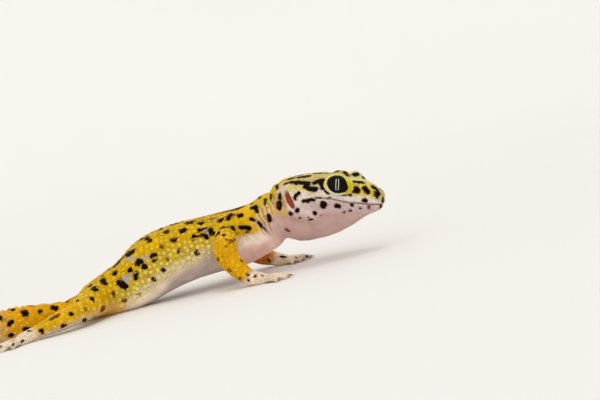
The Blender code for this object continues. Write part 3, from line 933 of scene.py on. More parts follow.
HEAD_RUST = (
    (0.20, (2.6, 1.0), (3.0, 1.1)),
    (0.24, (-0.4, 0.8), (0.6, 0.8)),
    (0.26, (12.8, -0.3), (12.8, -0.7)),
    (0.30, (13.6, 3.4), (13.9, 2.4)),
    (0.30, (-8.0, -8.8), (-7.4, -9.3)),
)
HEAD_LAVENDER = (
    (0.02, (-10.4, -2.8), (-10.4, -2.1)),
    (0.01, (-0.45, -3.2),),
    (0.12, (-2.7, 3.55), (-1.4, 3.7)),
)
print("black marks written down for the head:", len(HEAD_BLACK) + len(TOP_BLACK) + len(FAR_BROW_BLACK))

# %% Marks on the body
BODY_BLACK = (
    (0.80, (-17.8, 17.6),),
    (0.82, (-13.75, 17.0), (-13.4, 17.0)),
    (0.76, (-16.3, 15.45),),
    (0.86, (-11.2, 14.7),),
    (0.68, (-8.95, 16.1),),
    (0.42, (-8.8, 15.2), (-8.1, 13.9)),
    (0.50, (-7.1, 15.8), (-6.1, 14.4)),
    (0.66, (-12.3, 18.4), (-10.8, 18.4)),
    (0.60, (-8.6, 18.8),),
    (0.66, (-15.9, 18.7),),
    (0.62, (-19.6, 18.3),),
    (0.56, (-22.2, 18.0),),
    (0.56, (-25.0, 17.0),),
    (0.50, (-5.4, 19.0),),
    (0.50, (-2.6, 19.2),),
    (0.42, (-6.3, 18.0), (-5.7, 18.0)),
    (0.55, (-4.2, 17.1), (-3.9, 17.1)),
    (0.55, (-1.7, 17.0), (-0.9, 17.9)),
    (0.55, (1.1, 17.15), (1.8, 17.15)),
    (0.56, (0.9, 18.8), (2.6, 18.9)),
    (0.46, (5.0, 19.4),),
    (0.42, (7.2, 20.6),),
    (0.48, (-0.8, 15.0), (-0.8, 14.5)),
    (0.36, (0.9, 14.3), (2.0, 14.0), (3.1, 13.4)),
    (0.44, (-3.4, 13.9),),
    (0.50, (5.0, 18.3), (5.9, 18.2), (6.0, 17.3)),
    (0.20, (8.7, 19.6), (8.5, 18.5)),
    # The next three marks follow the neck's first fold: painted shade in its furrow, drawn in black.
    (0.34, (4.1, 15.7), (4.6, 15.2)),
    (0.36, (5.7, 14.2), (6.2, 13.4)),
    (0.08, (6.4, 13.0), (7.0, 11.9)),
    (0.46, (-15.7, 12.6), (-15.7, 11.8)),
    (0.42, (-11.5, 11.1), (-11.5, 10.8)),
    (0.46, (-20.8, 8.6), (-20.6, 8.6)),
    (0.46, (-23.7, 6.7),),
    (0.58, (-23.4, 17.3), (-22.6, 16.4)),
    (0.56, (-27.6, 15.9),),
    (0.66, (-29.4, 14.4), (-28.4, 14.3), (-27.3, 14.8)),
    (0.40, (-29.6, 15.2),),
    (0.78, (-26.5, 12.1), (-26.2, 12.1)),
    (0.72, (-25.2, 10.6),),
    (0.80, (-22.2, 12.6), (-22.2, 12.2)),
    (0.62, (-31.3, 13.2), (-33.2, 11.9)),
    (0.50, (-35.1, 11.4),),
    (0.46, (-36.6, 10.5),),
    (0.56, (-37.0, 9.7), (-36.2, 8.6)),
    (0.42, (-39.4, 6.6), (-39.4, 6.2)),
    (0.30, (-41.2, 4.6),),
    (0.60, (-42.2, 1.9),),
    (0.70, (-29.0, 10.6),),
    (0.70, (-27.7, 9.05), (-27.7, 8.75)),
    (0.72, (-32.4, 8.1), (-31.2, 6.6)),
    (0.34, (-28.4, 3.6),),
)
CREST_BLACK = (
    # places along the middle of the back, each with a half width
    (-37.6, 0.34), (-34.2, 0.40), (-31.6, 0.34), (-26.3, 0.42), (-23.4, 0.28), (-20.9, 0.36), (-17.6, 0.42),
    (-14.1, 0.30), (-7.0, 0.36), (-4.1, 0.26), (-0.7, 0.34), (4.0, 0.30), (9.0, 0.30),
)
BODY_RUST = (
    (0.50, (-19.8, 14.7),),
    (0.40, (-19.0, 11.1), (-18.6, 11.1)),
    (0.85, (-37.7, 2.9),),
    (0.46, (-34.6, 5.9), (-34.6, 5.3)),
    (0.42, (-32.5, 3.2), (-32.1, 3.2)),
    (0.18, (-28.4, 3.8), (-28.9, 5.0)),
    (0.22, (-0.6, 17.6), (0.9, 17.6)),
    (0.22, (-0.4, 13.3), (2.4, 12.7)),
)
BODY_LAVENDER = (
    (0.62, (-7.7, 15.2),),
    (0.30, (-5.2, 17.6), (-4.8, 17.5)),
    (0.62, (-23.6, 12.6), (-24.6, 12.8)),
    (0.50, (-29.6, 13.2), (-28.4, 13.0), (-27.4, 13.2)),
    (0.66, (-30.9, 8.8), (-30.4, 8.1)),
    (0.45, (-29.2, 9.5),),
)
ARM_BLACK = (
    (0.08, (-2.9, 12.8), (-2.0, 12.35)),
    (0.08, (-2.6, 11.9), (-2.2, 11.8)),
    (0.14, (-3.3, 11.3),),
    (0.38, (-6.2, 8.6),),
    (0.30, (-0.5, 6.9),),
    (0.26, (0.3, 3.1),),
    (0.24, (0.2, 1.9),),
    (0.28, (-1.8, 2.7),),
    (0.18, (2.1, 2.5),),
)
ARM_RUST = ((0.50, (-4.0, 5.4),), (0.22, (-1.9, 12.1), (-0.9, 12.1)), (0.2, (3.9, 2.2),))
print("black marks written down for the body:", len(BODY_BLACK) + len(CREST_BLACK) + len(ARM_BLACK))

# %% Put the marks on the skin
Mark = namedtuple("Mark", "kind half_width centres")  # a chain of dots on the skin
ABOVE_BACK = 30.0  # a line this high passes over the back, and finds the crest as the nearest place
GROW = 0.13  # every mark's edge lies this far outside its dots
HEAD_SHIFT, BODY_SHIFT = 0.22, 0.45  # how far the left side's marks stray from the right side's


def marks_from(kind, rows, place_on, side, random=None, shift=0.0):
    """The marks of one list on one side. With random, each is moved and resized a little."""
    found = []
    for half_width, *places in rows:
        move, grow = np.zeros(2), 1.0
        if random is not None:
            move, grow = random.normal(0, shift, 2), random.uniform(0.85, 1.2)
        centres = [place_on(x + move[0], z + move[1], side) for x, z in places]
        found.append(Mark(kind, half_width * grow + GROW, centres))
    return found


random = np.random.default_rng(7)
marks = []
for kind, on_the_head, on_the_body in (
    ("black", HEAD_BLACK, BODY_BLACK),
    ("rust", HEAD_RUST, BODY_RUST),
    ("lavender", HEAD_LAVENDER, BODY_LAVENDER),
):
    marks += marks_from(kind, on_the_head, on_head, RIGHT)
    marks += marks_from(kind, on_the_body, on_body, RIGHT)
    marks += marks_from(kind, on_the_head, on_head, LEFT, random, HEAD_SHIFT)
    marks += marks_from(kind, on_the_body, on_body, LEFT, random, BODY_SHIFT)
for on_the_top in (FAR_BROW_BLACK, TOP_BLACK):
    marks += marks_from("black", on_the_top, on_top, RIGHT)
marks += marks_from("black", ARM_BLACK, on_body, RIGHT)
marks += [Mark("black", half_width + GROW, [on_body(x, ABOVE_BACK, RIGHT)]) for x, half_width in CREST_BLACK]
marks += marks_from("rust", ARM_RUST, on_body, RIGHT)
print("marks placed by hand:", len(marks))

# %% [markdown]
# ## Spots where no one has drawn them
# The middle of the back, the tail, the hind legs and the left arm get spots of the same kind. Candidates
# are tried in a fixed random order, and one is kept where no mark lies closer than the usual gap, which is
# how the real spots are spread: evenly, but never in rows.

# %% Scatter the other spots
USUAL_KIND = 0.8  # how often a spot is of the first of its two kinds
STRETCH = 0.35  # about how far a spot is drawn out from its middle


def spread_out(candidates, gap, taken, random):
    """Indices of points picked in random order, none closer than gap to another or to those taken."""
    cells = {}

    def cell_of(place):
        return tuple((place // gap).astype(int))

    for place in taken:
        cells.setdefault(cell_of(place), []).append(place)
    steps = [(i, j, k) for i in (-1, 0, 1) for j in (-1, 0, 1) for k in (-1, 0, 1)]
    kept = []
    for index in random.permutation(len(candidates)):
        place = candidates[index]
        home = cell_of(place)
        near = [other for step in steps for other in cells.get(tuple(np.add(home, step)), ())]
        if all(np.sum((place - other) ** 2) > gap * gap for other in near):
            cells.setdefault(home, []).append(place)
            kept.append(index)
    return kept


def add_spots(where, gap, sizes, kinds):
    """Adds spots of these sizes to the marks, on the skin's points where the mask holds."""
    candidates = points[where][::3]
    taken = [centre for mark in marks for centre in mark.centres]
    for index in spread_out(candidates, gap, taken, random):
        place = candidates[index]
        kind = kinds[0] if random.random() < USUAL_KIND else kinds[1]
        stretch = random.normal(0, STRETCH, 3)
        marks.append(Mark(kind, random.uniform(*sizes), [place - stretch, place + stretch]))


body_points = in_body(points)
height = body_points[:, 2]
ON_BACK, NAPE = 0.72, 9.0  # a back's normal points up by more than this, and it ends at this x
LEFT_ARM = [f"{length}_left" for length in ARM]
along_back = (over("trunk", "neck") > 0) & (normals[:, 2] > ON_BACK) & (body_points[:, 0] < NAPE)
add_spots(along_back, 2.5, (0.45, 0.80), ("black", "rust"))
for solids, lowest, gap, sizes, kinds in (
    # over which solids, above which height, how far apart, half widths, kinds
    (("tail",), 1.5, 3.1, (0.5, 0.85), ("black", "black")),
    (LEG, 1.6, 3.0, (0.3, 0.55), ("black", "rust")),
    (LEFT_ARM, 2.0, 3.2, (0.18, 0.30), ("black", "rust")),
    (("foot", "hand_left"), 1.0, 2.4, (0.15, 0.3), ("black", "rust")),
):
    add_spots((over(*solids) > 0) & (height > lowest), gap, sizes, kinds)
print("marks in all:", len(marks))

# %% How deep inside the marks a place lies
MARK_REACH = 3.0


def depth_in_marks(places, kind):
    """For each place, the distance inside the nearest mark of this kind, negative outside it."""
    best = np.full(len(places), -MARK_REACH)
    for mark in marks:
        if mark.kind != kind:
            continue
        low, high = np.min(mark.centres, axis=0), np.max(mark.centres, axis=0)
        reach = MARK_REACH + mark.half_width
        near = np.all((places > low - reach) & (places < high + reach), axis=1)
        inside = capsule_chain(mark.centres, [mark.half_width] * len(mark.centres), places[near])
        best[near] = np.maximum(best[near], inside)
    return best


print("share of the skin inside a black mark:", round(float((depth_in_marks(points, "black") > 0).mean()), 3))


# %% [markdown]
# ## The ground colour
# Under the spots the colour changes slowly: yellow on the back, olive between the flank's tubercles, cream
# along the lower side, greyish pink on the belly, orange on the arms, pinkish white on the lips. Each
# colour has a chain of dots as a mark has. At every point the colours are mixed by how deep it lies in each
# chain, so that they meet in soft borders.

# %% Paints
YELLOW, ORANGE_YELLOW, OLIVE = tint(216, 170, 2), tint(236, 172, 8), tint(208, 178, 50)
CREAM, BELLY, PEACH = tint(218, 200, 166), tint(196, 178, 168), tint(232, 184, 96)
ARM_ORANGE, PALE_SHOULDER, CHEST = tint(232, 170, 6), tint(240, 222, 206), tint(230, 190, 178)
REAR_BELLY, NAPE_PALE, TOP_YELLOW = tint(240, 222, 200), tint(226, 208, 190), tint(236, 194, 12)
LEG_YELLOW = tint(230, 178, 14)
# Painted shade in the furrows of the neck's fine folds, and painted light on their crests.
NECK_FOLD_PAINTED_SHADE, NECK_FOLD_PAINTED_LIGHT = tint(136, 92, 40), tint(238, 220, 176)
NECK_YELLOW, NECK_TAN, NECK_PINK = tint(220, 184, 30), tint(214, 176, 112), tint(208, 170, 162)
CROWN, BAND, LIP = tint(216, 196, 122), tint(226, 204, 132), tint(234, 220, 208)
SNOUT, SNOUT_TOP, SNOUT_TIP = tint(228, 196, 40), tint(234, 218, 120), tint(196, 176, 118)
JAW, THROAT, EAR_EDGE = tint(214, 190, 184), tint(196, 162, 154), tint(236, 221, 206)
HAND_PINK, TAIL_WHITE, FAR_BROW = tint(250, 228, 200), tint(214, 206, 186), tint(214, 216, 160)
LID_TOP, LID_FRONT, LID_LOW = tint(233, 222, 118), tint(226, 206, 40), tint(236, 230, 170)
# The first colour here is painted shade in the groove of the closed mouth.
# The second colour here is painted shade: the arm's orange made darker and redder for the left arm.
MOUTH_SEAM_PAINTED_SHADE, LEFT_ARM_PAINTED_SHADE = tint(132, 84, 68), tint(206, 124, 40)

HEAD_PAINTS = (
    # colour, then places with a radius
    (CROWN, (-7.5, 5.4, 1.6), (-4.0, 6.4, 1.8), (0.0, 7.2, 1.8), (5.0, 7.6, 1.4)),
    (BAND, (-8.6, 1.9, 0.6), (-5.0, 2.6, 0.7), (-1.5, 2.1, 0.6)),
    (LIP, (-6.8, 0.4, 0.9), (-3.0, 0.9, 1.1), (1.0, 1.6, 0.8), (6.0, 1.4, 0.7), (11.0, 1.1, 0.7),
     (14.5, 0.9, 0.5)),
    (SNOUT, (7.8, 3.6, 1.0), (9.5, 3.6, 1.3), (12.0, 3.7, 1.2), (13.6, 3.2, 0.7)),
    (SNOUT_TOP, (8.0, 5.8, 0.9), (11.0, 5.4, 0.9), (14.2, 4.9, 0.8)),
    (SNOUT_TIP, (15.3, 3.2, 0.6), (15.9, 2.2, 0.4)),
    (JAW, (0.0, -0.7, 0.9), (5.0, -1.1, 1.0), (10.0, -1.2, 0.8), (14.0, -0.8, 0.6)),
    (JAW, (-4.2, -2.8, 1.0), (-1.0, -3.2, 1.1)),
    (THROAT, (-4.5, -7.5, 3.2), (1.0, -7.0, 3.4), (6.0, -5.0, 2.6), (10.0, -3.4, 1.2)),
    (EAR_EDGE, (-9.0, 1.6, 0.6), (-6.6, 0.0, 0.7), (-5.2, -2.0, 0.7)),
    (NECK_YELLOW, (-11.0, 6.0, 1.6), (-9.9, 4.6, 0.6)),
    (NAPE_PALE, (-10.0, 3.2, 0.5), (-10.0, 1.2, 0.6)),
    (NECK_TAN, (-10.4, -0.4, 0.8), (-10.2, -3.0, 1.1), (-9.0, -4.6, 0.8)),
    (NECK_YELLOW, (-12.2, 2.6, 1.0), (-12.8, 0.2, 0.9), (-13.2, -3.0, 0.7)),
    (NECK_PINK, (-9.6, -8.6, 2.2), (-7.0, -8.6, 1.6), (-8.2, -6.2, 1.0)),
)
BODY_PAINTS = (
    (YELLOW, (-38.0, 8.0, 3.0), (-34.0, 11.5, 4.0), (-29.0, 13.0, 5.0), (-20.0, 16.5, 4.6),
     (-10.0, 17.0, 4.3), (-2.0, 17.0, 3.8), (3.0, 17.2, 2.6)),
    (OLIVE, (-33.0, 5.0, 1.6), (-28.0, 8.0, 2.2), (-20.0, 11.3, 2.3), (-12.0, 12.6, 2.0), (-7.6, 13.4, 1.2)),
    (CREAM, (-30.0, 3.2, 1.2), (-24.0, 6.0, 1.5), (-18.0, 8.6, 1.4), (-12.0, 9.8, 1.3), (-7.0, 10.8, 0.9)),
    (REAR_BELLY, (-31.0, 0.6, 1.4), (-26.0, 2.6, 1.7), (-22.6, 4.4, 1.3)),
    (BELLY, (-24.0, 0.6, 1.2), (-18.0, 3.6, 2.6), (-12.0, 5.0, 3.6), (-6.0, 5.6, 3.2), (0.0, 5.0, 2.0)),
    (ORANGE_YELLOW, (-42.0, 4.0, 3.4), (-38.0, 5.0, 2.4)),
    (PEACH, (-38.0, 1.4, 1.4), (-34.0, 1.8, 1.4)),
    (PALE_SHOULDER, (1.6, 9.9, 0.8), (3.4, 10.5, 1.3), (5.6, 10.2, 1.4), (6.8, 9.2, 1.1)),
    (YELLOW, (2.2, 13.6, 1.3), (3.6, 13.2, 1.2), (5.2, 12.4, 0.8)),
    (CHEST, (2.0, 7.6, 1.8), (4.5, 7.0, 2.0), (7.0, 8.8, 1.4)),
    (NECK_YELLOW, (4.4, 18.4, 1.9), (7.0, 19.8, 1.8), (9.5, 21.2, 1.6)),
    (NECK_TAN, (5.6, 15.2, 1.0), (8.0, 15.8, 1.6), (9.8, 17.4, 1.3)),
    (NECK_PINK, (7.4, 11.6, 1.2), (9.6, 12.8, 1.8), (11.4, 11.4, 2.0)),
)
print("painted chains:", len(SIDES) * (len(HEAD_PAINTS) + len(BODY_PAINTS)))

# %% Mix the colours at each point of the skin
BORDER = 0.42  # softness of the borders between colours, in millimetres
FARTHEST = -30.0  # a chain farther off than this many borders counts for nothing


def paint_weights(places):
    """Every painted chain, and how deep each place lies in it."""
    found = []
    for rows, place_on in ((HEAD_PAINTS, on_head), (BODY_PAINTS, on_body)):
        for colour, *chain in rows:
            radii = [radius for *_, radius in chain]
            for side in SIDES.values():
                centres = [place_on(x, z, side) for x, z, _ in chain]
                found.append((colour, capsule_chain(centres, radii, places)))
    return found


def mixed(pairs):
    """Colours mixed by depth: the deeper a place lies in a chain, the more its colour counts."""
    depths = np.stack([depth for _, depth in pairs], 1)
    weights = np.exp(np.clip((depths - depths.max(1, keepdims=True)) / BORDER, FARTHEST, 0))
    colours = np.stack([colour for colour, _ in pairs])
    return weights @ colours / weights.sum(1, keepdims=True)


def blend(colours, colour, share):
    """Colours moved towards one colour by a share for each point."""
    return colours + (colour - colours) * np.clip(share, 0, 1)[:, None]


soft_owner = {
    name: around.softened(over(*solids), rounds)
    for name, rounds, *solids in (
        ("arm", 40, *ARM), ("hand or foot", 90, "hand", "foot"), ("leg", 30, *LEG), ("tail", 12, "tail"),
        ("tail's end", 60, "tail_middle", "tail_tip"), ("left arm", 60, *LEFT_ARM),
    )
}
print("soft borders round:", list(soft_owner))

# %% [markdown]
# The body's colours are laid on in turn: first the painted chains, then the arms, legs, tail, hands and
# feet, each with a soft border where it meets the trunk. The eyelids' colour comes last and has a crisp
# edge, because the lid is smooth, bare and bright. Its ring is wider in front, where the lids are drawn out
# to a corner.

# %% Lay the colours on in turn
LID_PAINT_REACH = 5.0  # no lid lies farther from the ball's middle


def lid_colours(local, ahead, above):
    """Pale on the upper lid, bright yellow towards the front corner, and cream on the lower lid."""
    colours = blend(np.tile(LID_TOP, (len(local), 1)), LID_FRONT, smoothstep(1.2, 2.6, ahead))
    return blend(colours, LID_LOW, smoothstep(0.6, 1.6, -above) * (1 - smoothstep(1.5, 2.6, ahead)))


def lid_share(local, ahead, above, out, outside):
    """1 on the coloured ring of the lids, 0 outside it."""
    turn = np.arctan2(above, ahead)
    ring = 0.10 + 0.12 * np.maximum(np.sin(turn), 0) + 0.06 * np.maximum(-np.cos(turn), 0)
    ring = ring + 0.26 * np.maximum(np.cos(turn + CORNER_DROP), 0) ** 8
    near_eye = np.linalg.norm(mirrored(local) - BALL_PLACE, axis=1) < LID_PAINT_REACH
    return (1 - smoothstep(-0.1, 0.1, outside - ring)) * (out > 0) * near_eye


def ground_colours():
    """The skin's colour at each of its points, under the spots, and the share of the lids in it."""
    local = in_head(points)
    x, y, z = local.T
    top = smoothstep(0.5, 2.5, height) * smoothstep(-0.5, 0.3, normals[:, 2] + 0.35)
    wave, on_neck = neck_wave(points, normals)
    lips = smoothstep(-2.0, 0.5, x) * over("head", "lower_jaw")
    far_brow = stretch(5.6, 6.6, 9.9, 10.9, x) * smoothstep(-0.7, 0.2, y) * smoothstep(4.8, 5.6, z)
    colours = mixed(paint_weights(points))
    for colour, share in (
        (ARM_ORANGE, smoothstep(0.25, 0.85, soft_owner["arm"])),
        (LEG_YELLOW, soft_owner["leg"] * top),
        (CREAM, soft_owner["leg"] * (1 - top)),
        (ORANGE_YELLOW, soft_owner["tail"] * top),
        (PEACH, soft_owner["tail"] * (1 - top)),
        (TAIL_WHITE, 0.8 * soft_owner["tail's end"]),
        (HAND_PINK, smoothstep(0.08, 0.92, soft_owner["hand or foot"])),
        (FAR_BROW, 0.85 * far_brow),
        # Painted shade: the whole left arm darker and redder than the right one.
        (LEFT_ARM_PAINTED_SHADE, soft_owner["left arm"]),
        # Painted shade in the neck's fold furrows and painted light on their crests, on the same wave that
        # presses the folds in.
        (NECK_FOLD_PAINTED_SHADE, 0.50 * on_neck * smoothstep(0.35, 0.95, wave)),
        (NECK_FOLD_PAINTED_LIGHT, 0.45 * on_neck * smoothstep(0.2, 0.9, -wave)),
        # Painted shade along the groove of the closed mouth.
        (MOUTH_SEAM_PAINTED_SHADE, 0.85 * bell(z - mouth_height(x), 0.17) * lips),
    ):
        colours = blend(colours, colour, share)
    ahead, above, out, outside = eye_view(local)
    on_lid = lid_share(local, ahead, above, out, outside)
    return colours + (lid_colours(local, ahead, above) - colours) * on_lid[:, None], on_lid


ground, on_lid = ground_colours()
print("ground colour, mean over the skin:", ground.mean(0).round(3))

# %% Keep colours and depths on the mesh
KINDS_OF_VALUE = {1: ("FLOAT", "value"), 3: ("FLOAT_VECTOR", "vector"), 4: ("FLOAT_COLOR", "color")}


def keep(mesh, name, values):
    """A number, a direction or a colour for each point, as an attribute that nodes can read."""
    values = np.asarray(values, np.float32)
    kind, field = KINDS_OF_VALUE[values.size // len(values)]
    mesh.attributes.new(name, kind, "POINT").data.foreach_set(field, values.ravel())


def opaque(colours):
    """Colours with the fourth value that an attribute wants."""
    return np.column_stack((colours, np.ones(len(colours))))


LID_CLEAR = 3.0  # how far the lids push every mark away
KINDS = ("black", "rust", "lavender")
PALE_CUT = 0.12  # how far a lavender patch keeps the black away


def mark_fields(places):
    """The depths in the three kinds of marks. Lavender patches part the black ones."""
    depths = {kind: depth_in_marks(places, kind) for kind in KINDS}
    depths["black"] = np.minimum(depths["black"], PALE_CUT - depths["lavender"])
    return depths


for kind, depths in mark_fields(points).items():
    keep(skin.data, kind, depths - LID_CLEAR * on_lid)
keep(skin.data, "ground", opaque(ground))
BELLY_TOP = ((-40, 1.0), (-30, 3.5), (-20, 7.5), (-8, 8.5), (4, 10.5), (12, 14.5))  # x, height
belly_height = np.interp(body_points[:, 0], *zip(*BELLY_TOP))
belly = over("trunk", "neck") * (1 - smoothstep(-1.2, 0.8, height - belly_height))
under_mouth = over("head", "lower_jaw", "neck") * (1 - smoothstep(-3.6, -1.8, in_head(points)[:, 2]))
smooth_parts = around.softened(np.maximum(belly, under_mouth), 8)
keep(skin.data, "pebbly", 1 - 0.8 * smooth_parts)
behind_arms = 1 - smoothstep(-8.0, -2.0, body_points[:, 0])
keep(skin.data, "belly_rows", around.softened(belly, 8) * behind_arms)
print("attributes on the skin:", [a.name for a in skin.data.attributes if a.domain == "POINT"])


# %% [markdown]
# ## Where the tubercles stand
# On the trunk the tubercles stand in rows that run along the body, each tubercle beside a gap of the next
# row. Here a ring of rays goes out from the middle of the body at each step along it. The ring's hits give
# a line over the back from one side of the belly to the other, and the tubercles are spaced along that
# line, with every second ring moved by half a space. The tail has such rings too, as whorls. On the legs
# and the head the scales are spread without rows.

# %% Roots on the trunk
class Roots:
    """Places where scales stand: where, which way they face and how wide they are."""

    def __init__(self):
        self.places, self.facing, self.widths, self.tallness = [], [], [], []

    def add(self, place, facing, width, tall=1.0):
        """One more scale."""
        self.places.append(place)
        self.facing.append(facing)
        self.widths.append(width)
        self.tallness.append(tall)


BELLY_LINE = (
    # x and height of the line below which the belly's scales are flat
    (-44, 1.0), (-34, 0.2), (-30, 2.6), (-26, 5.2), (-22, 7.4), (-18, 9.0), (-14, 9.9), (-6, 11.4), (0, 13.0),
    (4, 14.0), (8, 15.5), (12, 16.5),
)
FIRST_RING, LAST_RING = -45.0, 9.0
ALONG, ACROSS, CLOSER_ON_NECK, BELOW_BELLY_LINE = 1.42, 1.52, 0.5, 1.9
WIDTHS = ((0, 0.72), (1.8, 1.12), (6.0, 1.12), (9.0, 0.98))  # way up from the belly, width
TALLNESS = ((0, 1.0), (6.0, 0.9), (9.0, 0.45))  # way up from the belly, share of the usual height
WIDTH_NECK, STRAY = 0.70, 0.17
FEWEST_HITS, TRUNK_REACH = 4, 14.0  # a ring with fewer hits is left out, and so is a hit farther away


Hit = namedtuple("Hit", "place normal gap")  # gap is how far the ray went


def ring_of_hits(centre, along, rays=150):
    """Where rays from the centre, at right angles to along, first meet the skin."""
    side = unit(np.cross(UP, along))
    up = np.cross(along, side)
    hits = []
    for angle in full_circle(rays):
        direction = side * math.sin(angle) - up * math.cos(angle)
        place, normal, _, gap = skin_tree.ray_cast(Vector(centre * MM), Vector(direction))
        if place is not None:
            hits.append(Hit(np.array(place) / MM, np.array(normal), gap / MM))
    return hits


def spaced(hits, spacing, offset):
    """Hits spaced evenly by the length of the line that they lie on."""
    places = np.array([hit.place for hit in hits])
    lengths = np.concatenate(([0], np.cumsum(np.linalg.norm(np.diff(places, axis=0), axis=1))))
    wanted = np.arange(offset, lengths[-1], spacing)
    return [(hits[int(np.searchsorted(lengths, length))], length) for length in wanted]


def slice_middle(x, corners):
    """The middle of the trunk's section at x."""
    near = corners[np.abs(corners[:, 0] - x) < 1.6]
    return np.array((x, (near[:, 1].max() + near[:, 1].min()) / 2, (near[:, 2].max() + near[:, 2].min()) / 2))


def trunk_roots(random):
    """Rows along the trunk and the neck, from each side of the belly up to the crest."""
    found = Roots()
    solids = [frame["nodes"][name].data for name in ("trunk", "neck", "tail_base")]
    corners = in_body(np.concatenate([points_of(solid) for solid in solids]))
    for ring, x in enumerate(np.arange(FIRST_RING, LAST_RING, ALONG)):
        hits = ring_of_hits(slice_middle(x, corners) + body_zero, np.array((1.0, 0, 0)))
        line_height = np.interp(x, *zip(*BELLY_LINE)) - BELOW_BELLY_LINE
        crest = int(np.argmax([hit.place[2] for hit in hits]))
        for way in (hits[crest::-1], hits[crest:]):
            strip = [hit for hit in way if hit.place[2] > line_height][::-1]
            if len(strip) < FEWEST_HITS:
                continue
            neck = smoothstep(-4.5, 1.5, x)
            spacing = ACROSS - CLOSER_ON_NECK * neck
            for (place, normal, gap), length in spaced(strip, spacing, spacing * (0.25 + 0.5 * (ring % 2))):
                if normal[2] < -0.6 or gap > TRUNK_REACH:
                    continue
                width = np.interp(length, *zip(*WIDTHS))
                width += (WIDTH_NECK - width) * neck
                shift = random.normal(0, STRAY, 3)
                tall = np.interp(length, *zip(*TALLNESS)) * (1 - 0.5 * neck)
                place = place + shift - normal * (shift @ normal)
                found.add(place, normal, width * random.uniform(0.85, 1.12), tall)
    return found


random = np.random.default_rng(11)
back_roots = trunk_roots(random)
print("tubercles on the trunk:", len(back_roots.places))

# %% Roots on the tail
WHORL, TAIL_SPACING = 1.75, 1.5
TAIL_REACH, TAIL_THICKEST, MOST_WHORLS, FEWEST_POINTS = 7.5, 8.0, 60, 12


def tail_line():
    """The tail's middle line, found by walking down it and taking the middle of each section."""
    corners = points[over("tail") > 0]
    start = middle_of("tail_base")
    heading = unit((middle_of("tail_base") - middle_of("trunk")) * (1, 1, 0.2))
    line = [start]
    while True:
        guess = line[-1] + heading * WHORL
        apart = corners - guess
        near = corners[(np.abs(apart @ heading) < 0.8) & (np.linalg.norm(apart, axis=1) < TAIL_REACH)]
        if len(near) < FEWEST_POINTS or len(line) > MOST_WHORLS:
            return line
        middle = (near.max(0) + near.min(0)) / 2
        heading = unit(heading * 0.4 + unit(middle - line[-1]) * 0.6)
        line.append(middle)


def tail_roots(random):
    """Whorls of tubercles round the upper side of the tail."""
    found = Roots()
    line = tail_line()
    for ring, (before, centre, after) in enumerate(zip(line, line[1:], line[2:])):
        hits = ring_of_hits(centre, unit(after - before), 90)
        strip = [hit for hit in hits if hit.normal[2] > -0.35 and hit.gap < TAIL_THICKEST]
        if len(strip) < FEWEST_HITS:
            continue
        wide = np.clip(np.mean([hit.gap for hit in strip]) / 4.0, 0.35, 1.0)
        for (place, normal, _), _ in spaced(strip, TAIL_SPACING * wide, 0.3 + 0.7 * (ring % 2)):
            found.add(place, normal, (0.55 + 0.5 * wide) * random.uniform(0.85, 1.1))
    return found


tail_scales = tail_roots(random)
print("tubercles on the tail:", len(tail_scales.places))

# %% Roots on the legs and the head
def scattered_roots(where, gap, widths, random):
    """Scales without rows, on the skin's points where the mask holds."""
    found = Roots()
    chosen = np.flatnonzero(where)
    for index in spread_out(points[chosen], gap, [], random):
        found.add(points[chosen[index]], normals[chosen[index]], random.uniform(*widths))
    return found


head_local = in_head(points)
head_x = head_local[:, 0]
on_head_skin = over("head") > 0
above_mouth = head_local[:, 2] - mouth_height(head_x)
clear_of_lids = eye_view(head_local)[3] > 1.0
COARSE_BEHIND = 3.0  # the head's scales are coarser behind this x
EAR_CLEARANCE = 0.25
in_ear = np.max([capsule_chain(line, (0.6,) * len(line), points) for line in ear_lines.values()], axis=0)
behind_eye = on_head_skin & (above_mouth > 0.9) & clear_of_lids & (head_x < COARSE_BEHIND)
crown_and_snout = on_head_skin & (above_mouth > 1.9) & clear_of_lids & (head_x >= COARSE_BEHIND)
limb_top = (normals[:, 2] > -0.3) & (height > 2.2)
scattered = [
    scattered_roots(where, gap, widths, random)
    for where, gap, widths in (
        # where, how far apart, widths
        (behind_eye & (in_ear < -EAR_CLEARANCE), 0.66, (0.36, 0.56)),
        (crown_and_snout, 0.52, (0.30, 0.42)),
        (limb_top & (over(*ARM) > 0), 1.20, (0.5, 0.74)),
        (limb_top & (over(*LEG) > 0), 1.45, (0.72, 1.0)),
    )
]
head_scales, snout_scales, arm_scales, leg_scales = scattered
print("scales on head, snout, arms and legs:", [len(roots.places) for roots in scattered])

# %% [markdown]
# ## One tubercle, stood on every root
# A tubercle is a low blunt cone with a rounded top. One is modelled with few faces, and Geometry Nodes
# stand a copy of it on each root, turned to face away from the skin, each with its own width and twist. The
# tree ends in real faces and a material, and the roots' colour and mark depths come along with each copy.

# %% The tubercle
TUBERCLE_RINGS = ((1.0, -0.16), (0.92, 0.14), (0.62, 0.42), (0.26, 0.55))  # radius, height
TUBERCLE_SIDES = 8


def make_tubercle():
    """A blunt cone of radius 1 with a rounded top, and a small flat map of itself."""
    shape = bmesh.new()
    map_layer = shape.loops.layers.uv.new("patch")
    turns = full_circle(TUBERCLE_SIDES)
    rings = [
        [shape.verts.new((radius * math.cos(turn), radius * math.sin(turn), z)) for turn in turns]
        for radius, z in TUBERCLE_RINGS
    ]
    bridge(shape, rings, closed=True)
    shape.faces.new(rings[-1]).smooth = True
    for face in shape.faces:
        for corner in face.loops:
            corner[map_layer].uv = corner.vert.co.xy
    return piece_from(shape, "tubercle")


tubercle = make_tubercle()
print("one tubercle has", len(tubercle.data.polygons), "faces")

# %% The tree that stands them up
def new_tree(name, kind, **sockets):
    """A tree of nodes with these inputs, each given with its kind, and what it was given."""
    group = bpy.data.node_groups.new(name, kind)
    for title, socket in sockets.items():
        group.interface.new_socket(title.replace("_", " "), in_out="INPUT", socket_type="NodeSocket" + socket)
    tree = Tree(group)
    return group, tree, tree.add("NodeGroupInput").outputs


